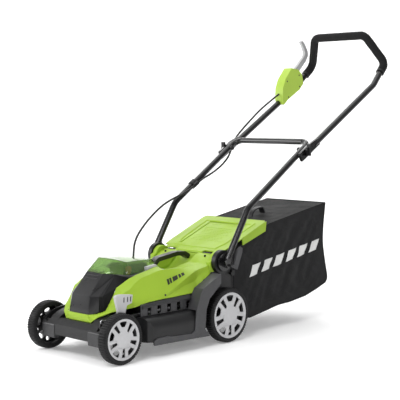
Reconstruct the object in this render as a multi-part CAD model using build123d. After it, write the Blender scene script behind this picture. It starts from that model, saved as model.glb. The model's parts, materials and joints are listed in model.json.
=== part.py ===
from build123d import *
import os
import math

os.makedirs("parts", exist_ok=True)

# Walk-behind battery lawn mower, millimetres, +Z up, +Y towards the operator,
# +X the operator's left.  Lengths below are laid out with Y = 0 at the front
# axle; everything is moved by -Y_MID on writing, so the origin ends up at the
# middle of the footprint.

# ---- driving dimensions -------------------------------------------------
Y_MID = 617.65           # moves the origin to the middle of the length
R_FW = 75.0              # front wheel radius
R_RW = 87.5              # rear wheel radius
Y_RW = 452.5             # wheelbase
X_WI, X_WO = 150.0, 186.4   # wheel inner and outer faces
R_BLADE = 175.0          # half the 350 mm cut
Y_BL = 225.0             # blade axis
R_CH = 180.0             # chamber radius
Z_CH = 98.0              # chamber roof
Z_TOP = 103.0            # upper side of the deck plate
PF = (-30.0, 98.0)       # front crank axis (y, z)
PR = (422.5, 110.5)      # rear crank axis (y, z)
R_AX = 5.0               # axle rod radius
LUG = 25.0               # link pin height above the crank axes
PIV = (447.0, 257.0)     # handle pivot (y, z)
KNEE = (551.0, 425.0)
CROSS = (863.0, 633.0)
X_LT = 170.0             # lower tube centre
R_LT = 10.5
JNT = (824.0, 607.0)     # joint between lower and upper handle
X_UT = 181.5
R_UT = 11.0
HNG = (452.6, 278.0)     # rear flap hinge
LIDH = (270.0, 258.0)    # battery lid hinge
R_CBL = 3.5              # cable radius

nodes = {}


# ---- helpers ------------------------------------------------------------
def box(x0, x1, y0, y1, z0, z1):
    return Pos((x0 + x1) / 2, (y0 + y1) / 2, (z0 + z1) / 2) * Box(abs(x1 - x0), abs(y1 - y0), abs(z1 - z0))


def prism_x(pts, x0, x1):
    w = Wire.make_polygon([Vector(x0, y, z) for y, z in pts], close=True)
    return Part() + Solid.extrude(Face(w), Vector(x1 - x0, 0, 0))


def prism_z(pts, z0, z1):
    w = Wire.make_polygon([Vector(x, y, z0) for x, y in pts], close=True)
    return Part() + Solid.extrude(Face(w), Vector(0, 0, z1 - z0))


def cyl(r, p, q):
    d = Vector(*q) - Vector(*p)
    return Part() + Solid.make_cylinder(r, d.length, Plane(origin=Vector(*p), z_dir=d))


def cylx(r, y, z, x0, x1):
    return cyl(r, (min(x0, x1), y, z), (max(x0, x1), y, z))


def mir(s):
    return mirror(s, Plane.YZ)


def both(s):
    return s + mir(s)


def sym(pts):
    return pts + [(-x, y) for x, y in reversed(pts)]


def tube(pts, radii, r):
    path = FilletPolyline(*[Vector(*p) for p in pts], radius=radii) if radii else Polyline(*[Vector(*p) for p in pts])
    t = path % 0
    sec = Plane(origin=path @ 0, z_dir=t) * Circle(r)
    return Part() + sweep(sec, path=path, transition=Transition.ROUND), path


def rot_x(s, y, z, deg):
    return s.rotate(Axis((0, y, z), (1, 0, 0)), deg)


# ---- upper envelope: plan outlines at rising heights -------------------
def outline(p, d=0.0):
    # p: half outline, front to rear; d: inward offset
    out = []
    n = len(p)
    cx, cy = 0.0, 240.0
    for x, y in p:
        fx = max(x - d, 0.5)
        fy = y + d if y < 120 else (y - d if y > 400 else y)
        out.append((fx, fy))
    return sym(out)


SECT = [
    (105.0, [(58, -20), (80, -10), (104, 18), (126, 60), (138, 100), (148, 170), (149, 345), (124, 400), (118, 460)]),
    (132.0, [(46, -16), (72, -6), (100, 20), (126, 60), (138, 100), (149, 170), (150, 345), (124, 400), (118, 460)]),
    (150.0, [(43.5, -12.5), (62, 2), (88, 28), (124, 62), (139, 104), (150, 172), (150, 345), (124, 400), (118, 460)]),
    (186.0, [(42, -7.5), (58, 18), (80, 52), (110, 92), (133, 134), (146, 195), (147, 345), (124, 400), (118, 460)]),
    (215.0, [(40, 17), (57, 44), (84, 82), (104, 116), (122, 160), (134, 215), (139, 345), (124, 400), (118, 460)]),
    (249.0, [(37, 46), (61, 72), (85, 105), (88, 135), (90, 165), (95, 225), (112, 345), (118, 405), (114, 460)]),
    (290.0, [(36, 96), (52, 102), (68, 112), (67, 135), (65, 165), (62, 225), (70, 345), (100, 410), (100, 460)]),
]


def envelope(d=0.0, dz=0.0):
    ws = [Wire.make_polygon([Vector(x, y, z - (dz if i == len(SECT) - 1 else 0)) for x, y in outline(p, d)], close=True)
          for i, (z, p) in enumerate(SECT)]
    return Part() + Solid.make_loft(ws, ruled=True)


TOPLINE = [(-60, 60), (-60, 132), (-16, 132), (-7.5, 186), (46, 249), (93, 285), (150, 286), (262, 280), (272, 262),
           (277, 250), (395, 250), (425, 276), (475, 280), (475, 60)]
T = 3.0


def lowered(pts, t):
    return [(y, z - t if z > 100 else z) for y, z in pts]


env_out = envelope() & prism_x(TOPLINE, -200, 200)
TOP_IN = [(-60, 50), (-60, 128), (-11, 128), (-3.5, 184), (49, 246), (95, 282), (150, 283), (258, 277), (268, 259),
          (274, 247), (396, 247), (426, 273), (457, 276), (457, 50)]
env_in = envelope(T, 0.0) & prism_x(TOP_IN, -200, 200)
shell = env_out - env_in

# lower edge of the hood, seen from the side
LOWER = [(-60, 111), (-20, 111), (-10, 130), (33, 150), (73, 152), (122, 163), (175, 168), (343, 173), (354, 215),
         (407, 225), (412, 262), (480, 262), (480, 320), (-60, 320)]
# line between the hood and the black nose cowl
COWL = [(-60, 133), (-10, 133), (23, 147), (51, 182), (81, 209), (120, 228), (156, 241), (206, 257), (276, 258),
        (276, 330), (-60, 330)]
LID = [(-60, 249), (46, 249), (105, 243), (162, 247.5), (226, 257), (268, 258), (268, 330), (-60, 330)]

above = shell & prism_x(LOWER, -200, 200)
cowl_raw = above & prism_x(COWL, -200, 200)
hood = above - prism_x(COWL, -200, 200)
LID_UP = [(y, z + 0.5) for y, z in LID]
lid = cowl_raw & prism_x(LID_UP, -200, 200)
cowl = cowl_raw - prism_x(LID, -200, 200)
cowl = cowl - box(-200, 200, 268, 300, 200, 300)
# a broad ledge that carries the lid's edge
# lid hinge barrels at the back
lid = lid - box(-200, 200, 262, 300, 240, 300)
lid_arm = prism_x([(255, 262), (LIDH[0] - 4, 254.6), (LIDH[0] + 4, 254.6), (LIDH[0] + 4, 262), (262.5, 274), (255, 274)], 14, 26)
lid = lid + both(lid_arm & box(0, 100, 200, 275.5, 200, 300)) + both(cylx(4.5, *LIDH, 14, 26))
lid = lid - cylx(2.05, *LIDH, -60, 60)

# carry-handle recess in the hood
recess = prism_x([(284, 300), (290, 214), (388, 214), (430, 236), (447, 300)], -46, 46)
rec_wall = prism_x([(281, 249), (287, 211), (389, 211), (431.5, 233), (446.5, 262), (446.5, 249)], -49, 49)
rec_wall = prism_x([(281, 260), (287, 211), (389, 211), (432, 233), (448, 262)], -49, 49)
hood = (hood + (rec_wall & env_out)) - recess
# space for the lid's hinge, and its ears
hood = hood - box(-34, 34, 262, 279, 240, 300)
ears = both(prism_x([(404, 226), (404, 262), (418, 280), (440, 288), (458, 282), (470, 262), (470, 226)], 119.5, 139.5))
hood = hood + (ears - prism_x([(404, 215), (470, 215), (470, 262), (404, 262)], -118, 118))
# flap hinge barrels, open in the middle for the flap's own barrel
hood = hood - box(-101, 101, 445, 480, 262, 300)
hood = hood + both(cylx(6.0, *HNG, 62.5, 99) + box(62.5, 99, 441.5, HNG[0], 272, 278) + box(62.5, 99, 441.5, 445.5, 262, 275))
hood = hood + box(-99, 99, 441.5, 445.0, 261, 276)
hood = hood - cylx(3.0, *HNG, -120, 120)

# cable hole
hood = hood - cyl(4.6, (-90, 284, 225), (-90, 284, 275))

# ---- deck shell ---------------------------------------------------------
plan = sym([(122, -48), (138, -38), (140, -20), (140, 88), (156, 93), (176, 100), (185, 115), (186, 135), (186, 318),
            (184, 335), (172, 348), (150, 353), (142, 358), (142, 470), (130, 480)])
deck = prism_z(plan, 50, 124)
front_keep = prism_x([(-60, 61), (-60, 94), (-48, 94), (-36, 105), (-29, 110), (30, 110), (30, 103), (62, 103), (62, 61)], -145, 145)
deck = deck - (box(-200, 200, -60, 62, 40, 140) - front_keep)
deck = deck - box(-139, 139, 61.9, 500, Z_TOP, 140)
deck = deck - box(-200, 200, 357, 500, Z_TOP, 140)
# front fenders
fender = prism_x([(-47.9, 94), (-36, 105), (-29, 113), (-10, 124), (9, 130), (30, 134), (62, 136), (88, 124), (88, 103), (30, 103), (-29, 94)], 76, 140)
deck = deck + both(fender)
# rounded shoulders along the side bulges
sh_pts = [(192, 84), (186, 84), (185.4, 94), (183, 104), (178, 112.5), (170, 119), (160, 122.8), (150, 124.0), (150, 132), (192, 132)]
sh_w = Wire.make_polygon([Vector(x, 88, z) for x, z in sh_pts], close=True)
deck = deck - both(Part() + Solid.extrude(Face(sh_w), Vector(0, 270, 0)))
chamber = cyl(R_CH, (0, Y_BL, 40), (0, Y_BL, Z_CH))
deck = deck - chamber
deck = deck - box(-106, 106, 294, 396, 90, 110)          # way into the discharge chute
deck = deck - cyl(8.0, (0, Y_BL, 90), (0, Y_BL, 110))       # shaft hole
# rear underside is hollow behind the chamber
deck = deck - box(-134, 134, 412, 474, 40, 97)
# cranks' channel, link channel and bearing seats
deck = deck - cylx(9.0, *PF, -150, 150) - cylx(9.0, *PR, -150, 150)
deck = deck - both(box(113, 134, -42, 96, 84, 150))
deck = deck - both(box(115, 123, -53, -41.9, 96, 150))
blk = env_out & prism_x([(y, z - 0.6) for y, z in LOWER], -200, 200)
deck = deck - blk
nodes["deck_shell"] = deck

# ---- rear housing with the discharge chute -----------------------------
block = prism_x([(356, Z_TOP), (356, 170), (362, 210), (406, 218), (414, 258), (440, 261), (470, 261), (500, 250), (505, 130), (492, Z_TOP)], -139, 139)
chute_o = prism_x([(289, Z_TOP), (325, 153), (356, 181), (365, 181), (365, Z_TOP)], -110, 110)
chute_i = prism_x([(295, 90), (330, 149), (400, 204), (440, 236), (520, 240), (520, 126), (404, 126), (396, 118), (396, 90)], -106, 106)
housing = (block + chute_o) - chute_i
housing = housing - cylx(9.0, *PR, -150, 150)
housing = housing - both(box(113, 134, 340, 447, Z_TOP, 160))
housing = housing - (box(-145, 145, 505.5, 520, 90, 300))
# pegs that carry the bag frame
housing = housing + both(cylx(4.0, 497, 214, 138, 148))
housing = housing - (env_out & prism_x([(y, z - 0.4) for y, z in LOWER], -200, 200)) - hood
nodes["hood"] = hood
nodes["nose_cowl"] = cowl
nodes["battery_lid"] = lid

# ---- side vents --------------------------------------------------------
vent = box(144, 148.5, 100, 344, 124, 161)
for i in range(5):
    vent = vent - box(140, 152, 126 + i * 41, 141 + i * 41, 126, 151)
vent = vent - blk
nodes["side_vents"] = both(vent)

# ---- side rails: foot along the deck edge, then the arm up to the pivot
rail_pts = [(119, 40), (116, 54), (129, 61), (173, 62), (189, 58), (275, 55), (288, 64), (294, 122), (312, 171), (323, 188),
            (372, 211), (404, 226), (404, 196), (352, 153), (338, 120), (333, 60), (352, 40), (352, 36), (272, 38)]
rail = prism_x(rail_pts, 186.0, 189.0)
rail_in = prism_x([(119, 40), (117, 49.8), (352, 49.8), (352, 36), (272, 38)], 181.5, 186.0)
rail_top = prism_x([(294, 124.2), (312, 171), (323, 188), (372, 211), (404, 226), (404, 196), (352, 153), (338, 124.2)], 150.2, 186.0)
rail_neck = prism_x([(356.5, 176), (362, 208), (404, 222), (404, 196), (372, 168)], 139.2, 150.2)
rail_l = rail + rail_in + rail_top + rail_neck
nodes["side_rail_left"] = rail_l
nodes["side_rail_right"] = mir(rail_l)

# ---- handle pivot bosses ------------------------------------------------
boss = cylx(38.0, *PIV, 140.0, 156.0) + cylx(8.0, *PIV, 156.0, 168.0)
boss = boss - rail_l
nodes["pivot_boss_left"] = boss
nodes["pivot_boss_right"] = mir(boss)

# ---- motor, controller, battery bay -------------------------------------
motor = cyl(50, (0, Y_BL, Z_TOP), (0, Y_BL, 166)) - cyl(46, (0, Y_BL, Z_TOP + 4), (0, Y_BL, 162)) \
    - cyl(8, (0, Y_BL, 90), (0, Y_BL, 110))
nodes["motor_housing"] = motor
nodes["controller_box"] = box(-52, 52, 92, 160, Z_TOP, 140)
bay = box(-48, 62, 100, 258, 195, 240) - box(-38.5, 38.5, 127, 241, 206, 260) - box(48.8, 58.8, 123, 145, 226, 260)
bay = bay & prism_x([(104, 190), (104, 240), (150, 240), (200, 240), (254, 240), (254, 190)], -100, 100)
lug = prism_x([(246, 236), (265.5, 262), (274.5, 262), (274.5, 253), (254, 230)], 28, 31) + cylx(2.0, *LIDH, 13.2, 28.5)
nodes["battery_bay"] = bay + both(lug)
nodes["battery_pack"] = (box(-38, 38, 127.5, 240.5, 206.5, 252) + prism_x([(132, 252), (140, 264), (226, 264), (236, 252)], -34, 34)
                         ) - both(box(14, 24, 150, 218, 261, 265))
nodes["safety_key"] = box(49.5, 58.2, 124, 144, 226.5, 246) + cyl(9.0, (50.0, 134, 256), (57.6, 134, 256))

# ---- rotor and blade ----------------------------------------------------
nodes["rotor_shaft"] = cyl(6, (0, Y_BL, 66), (0, Y_BL, 160)) + cyl(44, (0, Y_BL, 114), (0, Y_BL, 152))
fan = cyl(26, (0, Y_BL, 86), (0, Y_BL, 90))
for i in range(8):
    fan = fan + (Pos(0, Y_BL, 0) * (Rot(0, 0, i * 45) * (Pos(38, 0, 90) * Box(36, 3, 8))))
fan = fan - cyl(6, (0, Y_BL, 60), (0, Y_BL, 120))
nodes["cooling_fan"] = fan
nodes["blade_holder"] = cyl(22, (0, Y_BL, 66), (0, Y_BL, 72)) + cyl(12, (0, Y_BL, 72), (0, Y_BL, 86)) - cyl(6, (0, Y_BL, 66), (0, Y_BL, 100))
blade = prism_z([(-172, Y_BL - 22), (172, Y_BL - 18), (174, Y_BL + 10), (172, Y_BL + 22), (-172, Y_BL + 18), (-174, Y_BL - 10)], 62.5, 66)
lift = prism_x([(Y_BL + 12, 66), (Y_BL + 21.5, 66), (Y_BL + 26, 77), (Y_BL + 23, 77)], 110, 160)
lift2 = prism_x([(Y_BL - 12, 66), (Y_BL - 21.5, 66), (Y_BL - 26, 77), (Y_BL - 23, 77)], -160, -110)
nodes["blade"] = blade + (lift & prism_z([(105, 225), (171, 225), (171, 252), (105, 252)], 60, 80)) + lift2 - cyl(6.5, (0, Y_BL, 50), (0, Y_BL, 80))
nodes["blade_bolt"] = cyl(13, (0, Y_BL, 54.5), (0, Y_BL, 62.5)) + cyl(6.5, (0, Y_BL, 62.5), (0, Y_BL, 66))


# ---- cutting-height cranks, lever and link ------------------------------
def crank(py, pz, wy, wz, stub_r=6.0):
    s = cylx(R_AX, py, pz, -148.4, 148.4)
    d = Vector(0, wy - py, wz - pz)
    for sx in (1, -1):
        a = cylx(9.0, py, pz, sx * 144.4, sx * 148.4) + cylx(11.0, wy, wz, sx * 144.4, sx * 148.4)
        n = Vector(0, -d.Z, d.Y).normalized() * 8.0
        pts = [(py + n.Y, pz + n.Z), (wy + n.Y, wz + n.Z), (wy - n.Y, wz - n.Z), (py - n.Y, pz - n.Z)]
        a = a + prism_x(pts, min(sx * 144.4, sx * 148.4), max(sx * 144.4, sx * 148.4))
        s = s + a + cylx(stub_r, wy, wz, sx * 148.4, sx * 181.0)
    # lug for the link, between the deck's walls
    s = s + prism_x([(py - 6, pz), (py + 6, pz), (py + 6, pz + LUG), (py - 6, pz + LUG)], 117, 121) + cylx(6.0, py, pz + LUG, 117, 121) \
        + cylx(3.0, py, pz + LUG, 121, 127.5)
    return s


fc = crank(PF[0], PF[1], 0.0, R_FW)
# lever strip, welded to the left crank arm, in the gap beside the wheel
strip = prism_x([(PF[0] + 5, PF[1] - 7), (PF[0] - 2, PF[1] + 7), (-2, 136), (8, 152), (6, 188), (46, 188), (36, 150), (26, 128), (4, 106)], 142.2, 144.4)
fc = fc + strip
nodes["front_axle_crank"] = fc
nodes["rear_axle_crank"] = crank(PR[0], PR[1], Y_RW, R_RW)
grip = prism_x([(-7, 196.5), (-1, 201), (14, 202.5), (60, 197), (57, 173), (37, 168), (31.5, 146), (27, 126), (5, 126), (6.5, 149.5), (-2, 179)], 144.4, 156.0)
for yy, zt in ((25, 193), (39, 193), (51, 193)):
    grip = grip - prism_x([(yy - 2, zt - 16), (yy + 3, zt - 16), (yy + 4, zt), (yy - 1, zt)], 153.6, 160)
clear_w = cylx(R_FW + 1.2, 0, R_FW, 149.0, 190)
nodes["height_lever_grip"] = grip - clear_w
LA, LB = (PF[0], PF[1] + LUG), (PR[0], PR[1] + LUG)
ang = math.atan2(LB[1] - LA[1], LB[0] - LA[0])
nx, nz = -math.sin(ang) * 4.5, math.cos(ang) * 4.5
link = prism_x([(LA[0] + nx, LA[1] + nz), (LB[0] + nx, LB[1] + nz), (LB[0] - nx, LB[1] - nz), (LA[0] - nx, LA[1] - nz)], 121.5, 124.5)
link = link + cylx(7, *LA, 121.5, 124.5) + cylx(7, *LB, 121.5, 124.5)
link = link - cylx(3.06, *LA, 110, 130) - cylx(3.3, *LB, 110, 130)
nodes["height_link"] = link
# bearings: rings pressed into the deck's seats
brg = None
for (py, pz) in (PF, PR):
    for x0, x1 in ((134.5, 140), (60, 72)):
        if (py, pz) == PR and x0 == 60:
            x0, x1 = 100, 106
        ring = cylx(9.0, py, pz, x0, x1) - cylx(R_AX + 0.05, py, pz, x0 - 1, x1 + 1)
        brg = both(ring) if brg is None else brg + both(ring)
nodes["axle_bearings"] = brg


# ---- wheels -------------------------------------------------------------
def wheel(tag, cx_sign, cy, cz, r, rim):
    x0, x1 = X_WI, X_WO
    s = cx_sign

    def c(rr, a, b):
        return cylx(rr, cy, cz, s * a, s * b)
    tyre = c(r, x0 + 1.0, x1 - 2.4) - c(rim - 1.0, x0 - 1, x1 + 1)
    hub = c(rim - 1.0, x0 + 2.0, x1 - 5.0) - c(rim - 4.5, x0 - 1, x1)
    hub = hub + (c(15.0, x0 + 2.0, x1 - 5.0) + c(rim - 3.0, x1 - 12.0, x1 - 9.0))
    hub = hub - c(6.06, x0 - 5, x1 + 5)
    for k in range(5):
        a = math.radians(90 + 72 * k)
        yy, zz = cy + (rim * 0.62) * math.cos(a), cz + (rim * 0.62) * math.sin(a)
        hub = hub - cylx(rim * 0.2, yy, zz, s * (x1 - 20), s * (x1 - 5))
        a2 = a + math.radians(36)
        yy, zz = cy + (rim * 0.74) * math.cos(a2), cz + (rim * 0.74) * math.sin(a2)
        hub = hub - cylx(rim * 0.12, yy, zz, s * (x1 - 20), s * (x1 - 5))
    cap = c(rim - 1.2, x1 - 5.0, x1 - 1.8) + c(rim * 0.45, x1 - 1.8, x1)
    for k in range(5):
        a = math.radians(90 + 72 * k)
        yy, zz = cy + (rim * 0.64) * math.cos(a), cz + (rim * 0.64) * math.sin(a)
        slot = Pos(0, cy, cz) * (Rot(72 * k, 0, 0) * (Pos(s * (x1 - 3), 0, rim * 0.64) * Box(20, rim * 0.17, rim * 0.40)))
        cap = cap - slot
        slot2 = Pos(0, cy, cz) * (Rot(36 + 72 * k, 0, 0) * (Pos(s * (x1 - 3), 0, rim * 0.76) * Box(20, rim * 0.26, rim * 0.20)))
        cap = cap - slot2
    nodes[tag + "_tyre"] = tyre
    nodes[tag + "_wheel"] = hub
    nodes[tag + "_hubcap"] = cap


wheel("front_left", 1, 0.0, R_FW, R_FW, 61.4)
wheel("front_right", -1, 0.0, R_FW, R_FW, 61.4)
wheel("rear_left", 1, Y_RW, R_RW, R_RW, 73.8)
wheel("rear_right", -1, Y_RW, R_RW, R_RW, 73.8)

# ---- rear flap ------------------------------------------------------------
fd = Vector(0, 675 - HNG[0], 369 - HNG[1]).normalized()
fn = (-fd.Z, fd.Y)


def fl(s, h):
    return (HNG[0] + fd.Y * s + fn[0] * h, HNG[1] + fd.Z * s + fn[1] * h)


L_F = 240.3
plate = prism_x([fl(4, 0), fl(4, 4), fl(L_F, 4), fl(L_F, 0)], -142, 142)
flap_plan = sym([(60, 440), (60, 462), (104, 462), (124, 500), (142, 560), (142, 664), (130, 678)])
plate = plate & prism_z(flap_plan, 200, 420)
skirt = prism_x([fl(110, 2), fl(L_F - 1, 2), (669, 338), (557, 300)], 139, 142)
flap = plate + both(skirt) + cylx(6.0, *HNG, -61.5, 61.5)
flap = flap - prism_x([fl(40, 2), fl(40, 6), fl(205, 6), fl(205, 2)], -84, 84)
flap = flap - cylx(3.06, *HNG, -70, 70)
nodes["rear_flap"] = flap
nodes["flap_hinge_pin"] = cylx(3.0, *HNG, -99, 99)

# ---- grass bag -------------------------------------------------------------
BAG = [(514, 70), (598, 56), (658, 66), (741, 81), (804, 84), (886, 95), (1000, 130), (1010, 149), (982, 282), (995, 415), (692, 360), (675, 350), (514, 284)]
BAGI = [(500, 73.5), (598, 59.5), (658, 69.5), (741, 84.5), (804, 87.5), (886, 98.5), (998, 133), (1006, 149), (978.5, 282), (991, 410.5), (692, 356.5), (675, 346.5), (500, 274.5)]
bag = prism_x(BAG, -136.5, 136.5) - prism_x(BAGI, -133.5, 133.5)
nodes["bag_fabric"] = bag
frame_ = box(-136, 136, 508, 514, 70, 284) - box(-128, 128, 500, 520, 78, 276)
hook = both(prism_x([(500.0, 224), (514, 224), (514, 206), (502.0, 206), (502.0, 219), (500.0, 219)], 140.0, 145.0) + box(136, 145, 508, 514, 206, 224))
nodes["bag_frame"] = frame_ + hook
bh = prism_x([(742, 369.4), (747, 402), (752, 405), (806, 414), (811, 412), (818, 383.2), (810, 381.8), (805, 404), (757, 396), (751, 371.0)], -15, 15)
bh = bh - prism_x(BAG, -136.5, 136.5)
nodes["bag_handle"] = bh

# ---- carry handle over the recess -------------------------------------------
ch_pts = [(0, 286.5, 252), (0, 300, 266), (0, 385, 276), (0, 430, 270), (0, 449, 255)]
ch = prism_x([(281.5, 247), (285, 262), (300, 272), (384, 284), (420, 282), (440, 272), (444, 262), (432, 258), (416, 268), (384, 270), (304, 258), (294, 248)], -13, 13)
nodes["carry_handle"] = ch - hood
nodes["rear_housing"] = housing - ch - recess

# screws: two in the top, two in the sides
sc = cyl(3.2, (92, 430, 262), (92, 430, 276)) + cyl(3.2, (-92, 430, 262), (-92, 430, 276))
nodes["hood_screws"] = sc
nodes["hood"] = hood - sc

# ---- handle -----------------------------------------------------------------
lt_pts = [(-X_LT, PIV[0], PIV[1]), (-X_LT, *KNEE), (-X_LT, *CROSS), (X_LT, *CROSS), (X_LT, *KNEE), (X_LT, PIV[0], PIV[1])]
lower, _ = tube(lt_pts, [70, 34, 34, 70], R_LT)
disc = cylx(29.0, *PIV, 156.5, 164.0) + cylx(R_LT + 3, *PIV, 164.0, 181.0)
lower = lower + both(disc)
lower = lower - both(cylx(8.06, *PIV, 150, 168.5)) - both(cylx(4.08, *JNT, 140, 200))
nodes["lower_handle"] = lower

ud = Vector(0, 1272 - 796, 869 - 577).normalized()
un = (-ud.Z, ud.Y)


def up(y):
    return 577 + (y - 796) * (869 - 577) / (1272 - 796)


top_pts = [(-X_UT, 872, up(872)), (-X_UT, 1200, up(1200)), (-170.5, 1278, up(1278)), (-169.7, 1306, 915), (-141.9, 1277, 974), (-115.7, 1246, 1018),
           (115.7, 1246, 1018), (141.9, 1277, 974), (169.7, 1306, 915), (170.5, 1278, up(1278)), (X_UT, 1200, up(1200)), (X_UT, 872, up(872))]
# straight tubes, joined to the bent grip loop
hp = [(-X_UT, 872, up(872)), (-X_UT, 1215, up(1215)), (-170.2, 1302, 916), (-116, 1247, 1018), (116, 1247, 1018), (170.2, 1302, 916), (X_UT, 1215, up(1215)), (X_UT, 872, up(872))]
upper, upath = tube(hp, [80, 32, 30, 30, 32, 80], R_UT)
slab_pts = [(798 + un[0] * 19, up(798) + un[1] * 19), (850 + un[0] * 20, up(850) + un[1] * 20), (890 + un[0] * 12, up(890) + un[1] * 12), (890 - un[0] * 11, up(890) - un[1] * 11), (796 - un[0] * 11, 577 - un[1] * 11), (788, 588)]
slab = both(prism_x(slab_pts, 181.2, 190.0))
upper = upper + slab - both(cylx(4.08, *JNT, 175, 200))
nodes["upper_handle"] = upper

# foam over the loop: a sleeve on the same centre line
fp = [(-172.9, 1272, up(1272) + 9.5), (-170.2, 1302, 916), (-116, 1247, 1018), (116, 1247, 1018), (170.2, 1302, 916), (172.9, 1272, up(1272) + 9.5)]


def along(p, q, s):
    v = Vector(*q) - Vector(*p)
    v = v.normalized() * s
    return tuple(Vector(*p) + v)


f0 = along(hp[2], hp[1], 52.0)
f1 = along(hp[5], hp[6], 52.0)
foam_pts = [f0, hp[2], hp[3], hp[4], hp[5], f1]
foam, _ = tube(foam_pts, [32, 30, 30, 32], 15.5)
foam_in, _ = tube(foam_pts, [32, 30, 30, 32], R_UT)
foam = foam - upper
nodes["foam_grip"] = foam

BOX = [(1113, 764), (1104, 785), (1106, 826), (1120, 860), (1157, 903), (1196, 899), (1219, 880), (1227, 846), (1203, 822), (1135, 783)]
sw = prism_x(BOX, -193, -155)
btn_c = (1160, 862)
sw = sw - cylx(8.3, *btn_c, -200, -184)
slotl = prism_x([(1180, 905), (1172, 884), (1205, 862), (1235, 885), (1235, 905)], -191, -171.4)
sw = sw - slotl
sw = sw - upper
sw = sw + cylx(2.0, 1194, 882, -192, -170.5)
nodes["switch_box"] = sw
nodes["start_button"] = cylx(8.0, *btn_c, -188.5, -197.5)
bl = prism_x([(1184, 881), (1190, 873), (1200, 874), (1226, 893), (1270, 936), (1282, 956), (1280, 970), (1262, 998), (1250, 1012), (1243, 1010), (1240, 1003),
              (1253, 990), (1270, 963), (1268, 955), (1258, 943), (1218, 904), (1196, 893)], -190.0, -172.4)
bl = bl + cylx(8.0, 1194, 882, -190.6, -171.8) - cylx(2.06, 1194, 882, -195, -165)
nodes["bail_lever"] = bl

# ---- joint knobs and cam levers -----------------------------------------------
wk = cylx(4.0, *JNT, 155.0, 191.0) + cylx(8.0, *JNT, 152.0, 158.9) + cylx(11.0, *JNT, 190.5, 200.0) \
    + Pos(199, JNT[0], JNT[1]) * Box(14, 8, 40)
nodes["wing_knob_left"] = wk
nodes["wing_knob_right"] = mir(wk)
# each lever swings outwards on a pin held by a lug on the pivot boss
CAM_C = Vector(186.4, 462, 244)
CAM_D = Vector(0, 0.94, -0.35).normalized()


def on_cam(k):
    return tuple(CAM_C + CAM_D * k)


cam = prism_x([(458.5, 240.5), (479.2, 232.8), (502, 286), (503, 300), (492, 305), (482, 298), (466, 252)], 183.4, 189.4) \
    + cyl(4.5, on_cam(-7), on_cam(7))
cam = cam - cyl(2.06, on_cam(-30), on_cam(30))
nodes["cam_lever_left"] = cam
nodes["cam_lever_right"] = mir(cam)
lug_c = on_cam(-11)
cam_pin = cyl(2.0, on_cam(-12), on_cam(9)) + cylx(3.0, lug_c[1], lug_c[2], 176, 189)
nodes["lower_handle"] = lower + both(cam_pin)

# ---- control cable ----------------------------------------------------------
cu = [(-174, 1102.5, 803.5), (-175, 1066, 783), (-180, 1008, 747), (-186, 955, 705), (-194, 915, 668), (-199.5, 886, 638), (-195, 864, 603),
      (-186, 838, 573), (-176, 797, 548), (-167, 752, 528), (-159, 706, 512), (-155.6, 672, 502), (-155.5, 636, 481.7)]
cl = [(-155.5, 636, 481.7), (-155.4, 600, 461.4), (-154, 550, 447), (-150, 478, 424), (-140, 408, 386), (-125, 346, 345), (-108, 307, 314), (-94, 288, 282), (-90, 284, 252)]


def cord(pts, tag):
    radii = []
    V = [Vector(*p) for p in pts]
    for i in range(1, len(V) - 1):
        a, b = V[i] - V[i - 1], V[i + 1] - V[i]
        turn = math.radians(a.get_angle(b))
        radii.append(0.45 * min(a.length, b.length) / math.tan(turn / 2))
    print(tag, "radii", [round(r) for r in radii])
    s, path = tube(pts, radii, R_CBL)
    vol = math.pi * R_CBL ** 2 * path.length
    print(tag, "length", round(path.length, 1), "volume ratio", round(s.volume / vol, 4))
    return s


nodes["cable_upper"] = cord(cu, "cable_upper")
nodes["cable_lower"] = cord(cl, "cable_lower")
# clip round tube and cable on the lower handle
cdir = Vector(0, CROSS[0] - KNEE[0], CROSS[1] - KNEE[1]).normalized()


def on_tube(y):
    return (y, KNEE[1] + (y - KNEE[0]) * (CROSS[1] - KNEE[1]) / (CROSS[0] - KNEE[0]))


q = on_tube(640)
p0 = Vector(-X_LT, q[0], q[1]) - cdir * 11
p1 = Vector(-X_LT, q[0], q[1]) + cdir * 11
clip = cyl(14.0, tuple(p0), tuple(p1)) + cyl(7.0, tuple(p0 + Vector(14.2, 0, 0)), tuple(p1 + Vector(14.2, 0, 0)))
clip = clip - lower - nodes["cable_upper"] - nodes["cable_lower"]
nodes["cable_clip"] = clip
grom = cyl(4.6, (-90, 284, 236), (-90, 284, 258)) + cyl(7.5, (-90, 284, 250.5), (-90, 284, 254))
grom = grom - hood - nodes["cable_lower"] - cyl(R_CBL, (-90, 284, 230), (-90, 284, 260))
nodes["cable_grommet"] = grom

# ---- lid latch ----------------------------------------------------------------
latch = prism_x([(176, 249.5), (176, 262), (214, 266), (222, 258)], 80, 92)
nodes["lid_latch"] = latch - lid - cowl - hood

# ---- write ----------------------------------------------------------------
lo, hi = [1e9] * 3, [-1e9] * 3
for name, shape in nodes.items():
    s = Pos(0, -Y_MID, 0) * shape
    sol = s.solids()
    keep = [x for x in sol if x.volume > 1.0]
    if len(keep) != len(sol):
        print("dropped", name, len(sol) - len(keep))
    out = keep[0] if len(keep) == 1 else Compound(children=keep)
    bb = out.bounding_box()
    for i, (a, b) in enumerate(zip(tuple(bb.min), tuple(bb.max))):
        lo[i], hi[i] = min(lo[i], a), max(hi[i], b)
    export_step(out, "parts/%s.step" % name)
print("nodes", len(nodes), "box", [round(v, 2) for v in lo], [round(v, 2) for v in hi], "mid", [round((a + b) / 2, 2) for a, b in zip(lo, hi)])
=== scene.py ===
import bpy, bmesh, math, json, random
import numpy as np
from mathutils import Vector, Matrix, noise


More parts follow.
